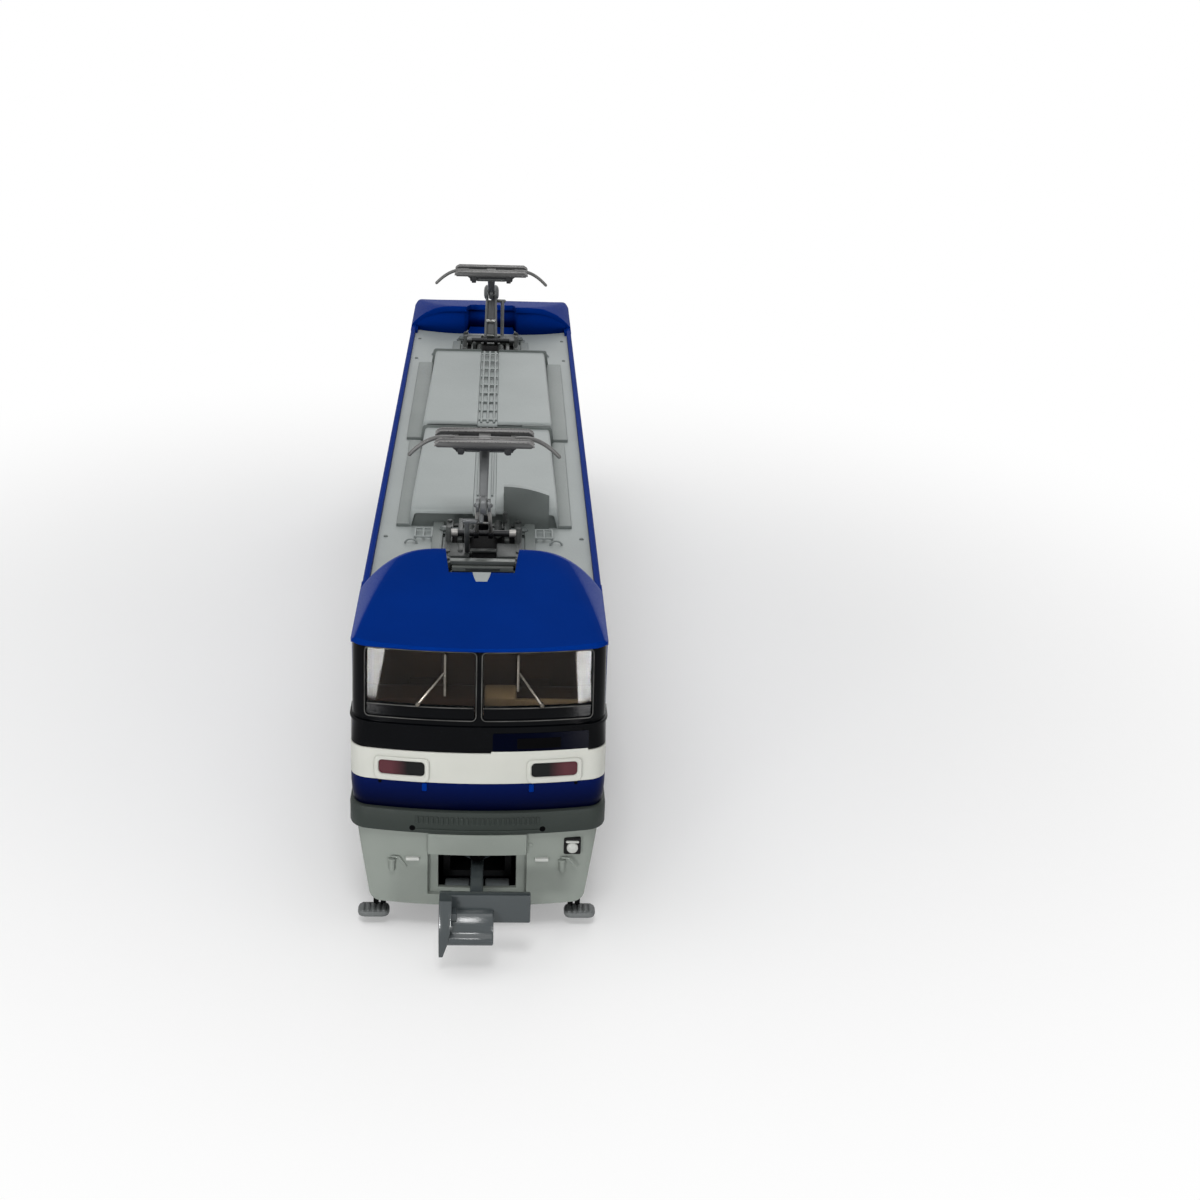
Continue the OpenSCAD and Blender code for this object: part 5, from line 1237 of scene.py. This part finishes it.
# %% Base
BASE_X = SHAFT_X - 4.8
BASE_L = 10.6
BASE_END = BASE_X + BASE_L
BASE_W = 3.2
FOOT_Z = DECK_Z + 0.5
shed = [(0.01, 0), (0.72, 0), (0.75, 0.1), (0.5, 0.17), (0.7, 0.28), (0.7, 0.33), (0.48, 0.4), (0.48, 0.56),
        (0.3, 0.75), (0.01, 0.78)]
insulators = [turned(shed, (x, BASE_W + 0.1, DECK_Z - 0.02), "z", 18) for x in (BASE_X + 1, BASE_END - 1)]
side_beam = [block((BASE_X, BASE_W - 0.6, FOOT_Z), (BASE_END, BASE_W, FOOT_Z + 0.5), 0.12, 0.08)]
lug_loop = np.concatenate([[(SHAFT_X - 0.95, FOOT_Z + 0.2)], arc((SHAFT_X, SHAFT[2]), 0.52, 160, 20, 8),
                           [(SHAFT_X + 0.95, FOOT_Z + 0.2)]])
lugs = [prism(lug_loop, BASE_W - 0.5, BASE_W - 0.1, "y", 0.06)]
pads = [block((BASE_X - 1.6, BASE_W + 0.25, DECK_Z - 0.1), (BASE_END - 2.2, BASE_W + 1.15, DECK_Z + 0.45),
              0.15, 0.08)]
cross_x = (BASE_X, ROD[0] - 1.6)
crosses = [block((x, 0.5 - BASE_W, FOOT_Z), (x + 0.7, BASE_W - 0.5, FOOT_Z + 0.22), 0.1, 0.06)
           for x in cross_x]
tray = [block((SHAFT_X - 2.6, 0.6 - BASE_W, DECK_Z - 0.1), (BASE_END - 1.2, BASE_W - 0.6, FOOT_Z + 0.06),
              0.2, 0.08)]
front_plate = [block((BASE_END - 1.3, 0.5 - BASE_W, FOOT_Z + 0.1),
                     (BASE_END - 0.5, BASE_W - 0.5, FOOT_Z + 0.45), 0.1, 0.06),
               block((BASE_END - 0.6, 0.7 - BASE_W, FOOT_Z - 0.3),
                     (BASE_END - 0.1, BASE_W - 0.7, FOOT_Z + 0.08), 0.1, 0.06)]
slit = [block((BASE_END - 0.3, -1.4, FOOT_Z - 0.22), (BASE_END - 0.06, 1.4, FOOT_Z - 0.02), 0.05, 0.03)]
wing = [block((SHAFT_X + 1.2, 1.1, FOOT_Z + 0.1), (BASE_END - 1.4, BASE_W - 0.3, FOOT_Z + 0.56), 0.2, 0.08),
        block((BASE_X + 0.3, 1.75, FOOT_Z + 0.1), (SHAFT_X + 1.0, 2.15, FOOT_Z + 0.75), 0.1, 0.06)]
rod_lug = [block((ROD[0] - 1.6, ROD_Y - 0.75, FOOT_Z), (ROD[0] + 0.35, ROD_Y - 0.35, ROD[2] + 0.35),
                 0.2, 0.06, "y"),
           line((ROD[0], ROD_Y - 0.8, ROD[2]), (ROD[0], ROD_Y + 0.22, ROD[2]), 0.22, 12)]
lever = [line((BASE_X + 1.4, 1.8, FOOT_Z), (BASE_X + 1.2, 1.8, FOOT_Z + 1.5), 0.2, 10, (0, 1, 0)),
         block((BASE_X + 0.9, 1.4, FOOT_Z), (BASE_X + 2.0, 2.3, FOOT_Z + 0.5), 0.15, 0.08)]
COILS = 9
coil_t = np.linspace(0, COILS * 2 * math.pi, COILS * 16 + 1)
spring_x = np.linspace(BASE_X + 0.9, SHAFT_X - 0.9, len(coil_t))
spring_path = np.stack([spring_x, 1.2 + 0.26 * np.cos(coil_t), FOOT_Z + 0.5 + 0.26 * np.sin(coil_t)], -1)
springs = [tube(spring_path, 0.075, 6)]
bolt = [(0.26, 0), (0.26, 0.16), (0.2, 0.22), (0.01, 0.24)]
bolts = [turned(bolt, (x, BASE_W - 0.3, FOOT_Z + 0.46), "z", 6)
         for x in (BASE_X + 0.6, BASE_X + 2.3, BASE_END - 2.4, BASE_END - 0.7)]
shaft_ends = [turned([(0.2, 2.14), (0.33, 2.16), (0.33, 2.86), (0.2, 2.88)], SHAFT, "y", 16)]
parts = both_sides(side_beam + lugs + bolts + wing + springs) + crosses + rod_lug + lever + slit
# The tray takes the near-black: painted shade inside the base.
parts += painted(both_sides(insulators), 1) + painted(tray, 2) + painted(front_plate, 3)
add_ends("pantograph_frame_{}", parts, [BASE, INSULATOR, BLACK_AND_SHADE, BASE_PLATE], "body",
         ["pantograph_base_{}"])
add_ends("pantograph_pads_{}", both_sides(pads), ROOF_DARK_GREY_AND_SHADE, "body")

# %% Arms and rod
LEG_Y = 0.6
KNEE_Y = 0.46
leg = KNEE - SHAFT
fork = [tube(np.linspace(SHAFT + (0, LEG_Y, 0), KNEE + (0, KNEE_Y, 0), 5), 0.16, 12)]
leg_down = np.cross((0, 1, 0), leg) / np.linalg.norm(leg)


def arm_web(low, high, start, end):
    """A plate between the legs: a flat loop carried along the leg between two shares of its length."""
    ring = round_loop(low, high, 0.05, 3)
    place = SHAFT + leg * np.linspace(start, end, 5)[:, None]
    return [loft(place[:, None] + ring[None, :, :1] * (0, 1, 0) + ring[None, :, 1:] * leg_down)]


eye_shapes = {"front": [(0.3, 0.34), (0.55, 0.36), (0.55, 0.58), (0.3, 0.6)],
              "rear": [(0.3, 0.34), (0.88, 0.36), (0.9, 0.5), (0.8, 0.68), (0.55, 0.82), (0.3, 0.86)]}
eyes = {end: [turned(shape, KNEE, "y", 24)] for end, shape in eye_shapes.items()}
arm_webs = {"front": arm_web((-0.4, -0.08), (0.4, 0.04), 0.12, 0.66),
            "rear": arm_web((-0.5, 0.18), (0.5, 0.3), 0.15, 0.86)}
shaft_rod = [cross_pin(SHAFT, BASE_W - 0.3, 0.26, 16)]
collars = [turned([(0.25, 0.4), (0.46, 0.42), (0.46, 0.8), (0.25, 0.82)], SHAFT, "y", 18)]
tie_rod = [cross_pin(SHAFT + 0.4 * leg, 0.45, 0.2, 10)]
knee_pin = [cross_pin(KNEE, 0.58, 0.2, 12)]
reach = HEAD - KNEE
reach_l = np.linalg.norm(reach)
lean_y = np.array([0, 1, 0])
along = reach / reach_l
upright = np.cross(along, lean_y)
bar_share = np.linspace(0.08, 1, 9)
bar_loop = round_loop((-0.32, -0.2), (0.32, 0.2), 0.1, 3)
taper = 1 + 0.33 * bar_share
bar_rings = (KNEE + along * (bar_share * reach_l)[:, None])[:, None] + bar_loop[None, :, 1:] * upright \
    + bar_loop[None, :, :1] * taper[:, None, None] * lean_y
upper_bar = [loft(bar_rings)]
hub = [turned([(0.24, -0.3), (0.66, -0.28), (0.78, -0.18), (0.78, 0.18), (0.66, 0.28), (0.24, 0.3)],
              KNEE, "y", 26)]
cross_tube = [cross_pin(HEAD, 1.5, 0.32, 16), cross_pin(HEAD, 2.12, 0.23, 12)]
tail_dir = (TAIL - KNEE) / TAIL_L
tail_part = [tube(np.linspace(KNEE + (0, -0.14, 0) + tail_dir * 0.5, TAIL + (0, -0.14, 0), 4), 0.18, 12,
                  (0, 1, 0))]
rod_part = [tube(np.linspace(ROD + (0, ROD_Y, 0), TAIL + (0, ROD_Y, 0), 4), 0.2, 12, (0, 1, 0)),
            turned([(0.27, -0.2), (0.45, -0.18), (0.45, 0.18), (0.27, 0.2)], ROD + (0, ROD_Y, 0), "y", 18),
            line(TAIL + (0, ROD_Y - 0.2, 0), TAIL + (0, ROD_Y + 0.7, 0), 0.2, 12)]
# At the front the forks and shaft ends take a pale grey, a lit copy of the arms' grey: painted light.
for end, sign in ENDS:
    # At the front the plate between the legs is dark grey: painted shade.
    web_shade_number = 3 if sign > 0 else 0
    lower = both_sides(eyes[end]) + knee_pin + painted(arm_webs[end], web_shade_number) + painted(tie_rod, 1)
    lower += painted(both_sides(fork + shaft_ends), 2) + painted(both_sides(collars) + shaft_rod, 3)
    add_piece(f"lower_arm_{end}", at_end(lower, sign), [ARM, PIN, LIT_LEG_GREY if sign > 0 else ARM, PANTOGRAPH_DARK_AND_SHADE],
              f"pantograph_lower_arm_{end}", [f"pantograph_lower_arm_{end}"])
add_ends("upper_arm_{}", upper_bar + hub + cross_tube + tail_part, ARM, "pantograph_upper_arm_{}",
         ["pantograph_upper_arm_{}"])
add_ends("control_rod_{}", rod_part, ARM, "pantograph_rod_{}", ["pantograph_rod_{}"])

# %% Head
STRIP_L = 8.06
STRIP_HALF = STRIP_L / 2
STRIP_GAP = 3.0
STRIP_W = 0.9
HORN_SPAN = 12.3
HORN_DROP = 1.5
STRIP_Z = HEAD[2] + 0.75
strip_top = np.array([(STRIP_HALF, STRIP_Z), (STRIP_HALF - 0.1, STRIP_Z + 0.18),
                      (STRIP_HALF - 0.4, STRIP_Z + 0.36)])
strip_top = np.concatenate([strip_top, strip_top[::-1] * (-1, 1)])
strip_foot = np.array([(0.2 - STRIP_HALF, STRIP_Z - 0.16), (STRIP_HALF - 0.2, STRIP_Z - 0.16)])
strip_loop = np.concatenate([strip_top, strip_foot])
strip_x = [HEAD[0] + s * STRIP_GAP / 2 for s in (-1, 1)]
strips = [prism(strip_loop, x - STRIP_W / 2, x + STRIP_W / 2, "x", 0.06) for x in strip_x]
edge_runs = [np.linspace(a, b, 5)[:-1] for a, b in zip(strip_top[:-1], strip_top[1:])]
edge_path = np.concatenate(edge_runs + [strip_top[-1:]])
edges = [tube(stand(edge_path, x + s * (STRIP_W / 2 - 0.05), "x"), 0.075, 8, (1, 0, 0)) for x in strip_x
         for s in (-1, 1)]
horn_u = np.linspace(0, 1, 16)
horn_y = 2.6 + horn_u * (HORN_SPAN / 2 - 2.6)
horn_z = STRIP_Z + 0.14 - HORN_DROP * np.clip((horn_u - 0.25) / 0.75, 0, 1) ** 1.9
horn = [tube(np.stack([HEAD[0] + 0 * horn_y, horn_y, horn_z], -1), 0.2 - 0.03 * horn_u, 10)]
yoke = [line((HEAD[0], -2.9, STRIP_Z + 0.08), (HEAD[0], 2.9, STRIP_Z + 0.08), 0.2, 10),
        block((HEAD[0] - 1.4, -0.5, STRIP_Z - 0.1), (HEAD[0] + 1.4, 0.5, STRIP_Z + 0.22), 0.12, 0.06)]
tabs = [block((HEAD[0] - 1.3, 2.17, STRIP_Z - 0.12), (HEAD[0] + 1.3, 2.53, STRIP_Z + 0.1), 0.08, 0.05)]
under_loop = np.array([(2.75, STRIP_Z - 0.1), (-2.75, STRIP_Z - 0.1), (-2.35, STRIP_Z - 0.42),
                       (2.35, STRIP_Z - 0.42)])
unders = [prism(under_loop, x - 0.3, x + 0.3, "x", 0.05) for x in strip_x]
feet = [turned([(0.01, -0.4), (0.3, -0.38), (0.3, 0.38), (0.01, 0.4)], (x, 1.9, STRIP_Z - 0.46), "x", 14)
        for x in strip_x]
cheek_loop = np.array([(HEAD[0] - 0.55, HEAD[2] - 0.4), (HEAD[0] + 0.55, HEAD[2] - 0.4),
                       (HEAD[0] + 1.75, STRIP_Z - 0.1), (HEAD[0] - 1.75, STRIP_Z - 0.1)])
cheeks = [prism(cheek_loop, 1.7, 2.2, "y", 0.08),
          turned([(0.01, 2.1), (0.34, 2.1), (0.34, 2.32), (0.2, 2.4), (0.01, 2.42)], HEAD, "y", 12)]
head = strips + painted(both_sides(horn + tabs) + yoke, 1) + painted(both_sides(cheeks + feet) + unders, 2)
head += painted(edges, 3)
add_ends("collector_head_{}", head, [STRIP, HORN, PANTOGRAPH_DARK_AND_SHADE, STRIP_EDGE], "pantograph_head_{}",
         ["pantograph_head_{}"])
print("head spans", HORN_SPAN)

# %% [markdown]
# ## Cab fittings
# Through the windscreen the driver's cab shows: brown walls, seats and, on the right, a tan console with a
# long desk edge.

# %% Console
CONSOLE_X = NOSE_X - 2.3
console_loop = np.array([(CONSOLE_X - 1.7, MASK_Z + 1), (CONSOLE_X, MASK_Z + 1),
                         (CONSOLE_X, SASH_TOP + 0.1), (CONSOLE_X - 0.4, SASH_TOP + 0.35),
                         (CONSOLE_X - 1.7, SASH_TOP + 0.45)])
console = [prism(console_loop, 0.4, 2.75, "y", 0.2, 4),
           block((CONSOLE_X - 0.45, 2.5, MASK_Z + 1), (CONSOLE_X, 8, SASH_TOP - 0.02), 0.2, 0.1)]
add_ends("driver_console_{}", console, CONSOLE_TAN, "body")

# %% [markdown]
# ## Finishes on the solids that stay
# Bogies, wheels, gears, chassis and motor are already the right shape. Each gets its own finish.

# %% Dress the solids
NODE_FINISH = {
    "bogie": BOGIE, "gearbox": BOGIE, "keeper": BOGIE, "wheelset": WHEEL, "worm_wheel": IVORY,
    "idler": IVORY, "worms": BRASS, "worm_bearings": BRASS, "flywheels": BRASS, "rotor": STEEL,
    "motor_can": STEEL, "motor_end": IVORY, "chassis_screws": STEEL, "chassis": CAST, "circuit": BOARD,
    "light_guides": ACRYLIC, "cab_interior": CAB_BROWN, "coupler_pocket": POCKET,
}
dressed = 0
for node_name, node in frame["nodes"].items():
    found = [made for start, made in NODE_FINISH.items() if node_name.startswith(start)]
    if found:
        node.data.materials.clear()
        node.data.materials.append(found[0])
        dressed += 1
print("solids dressed:", dressed)
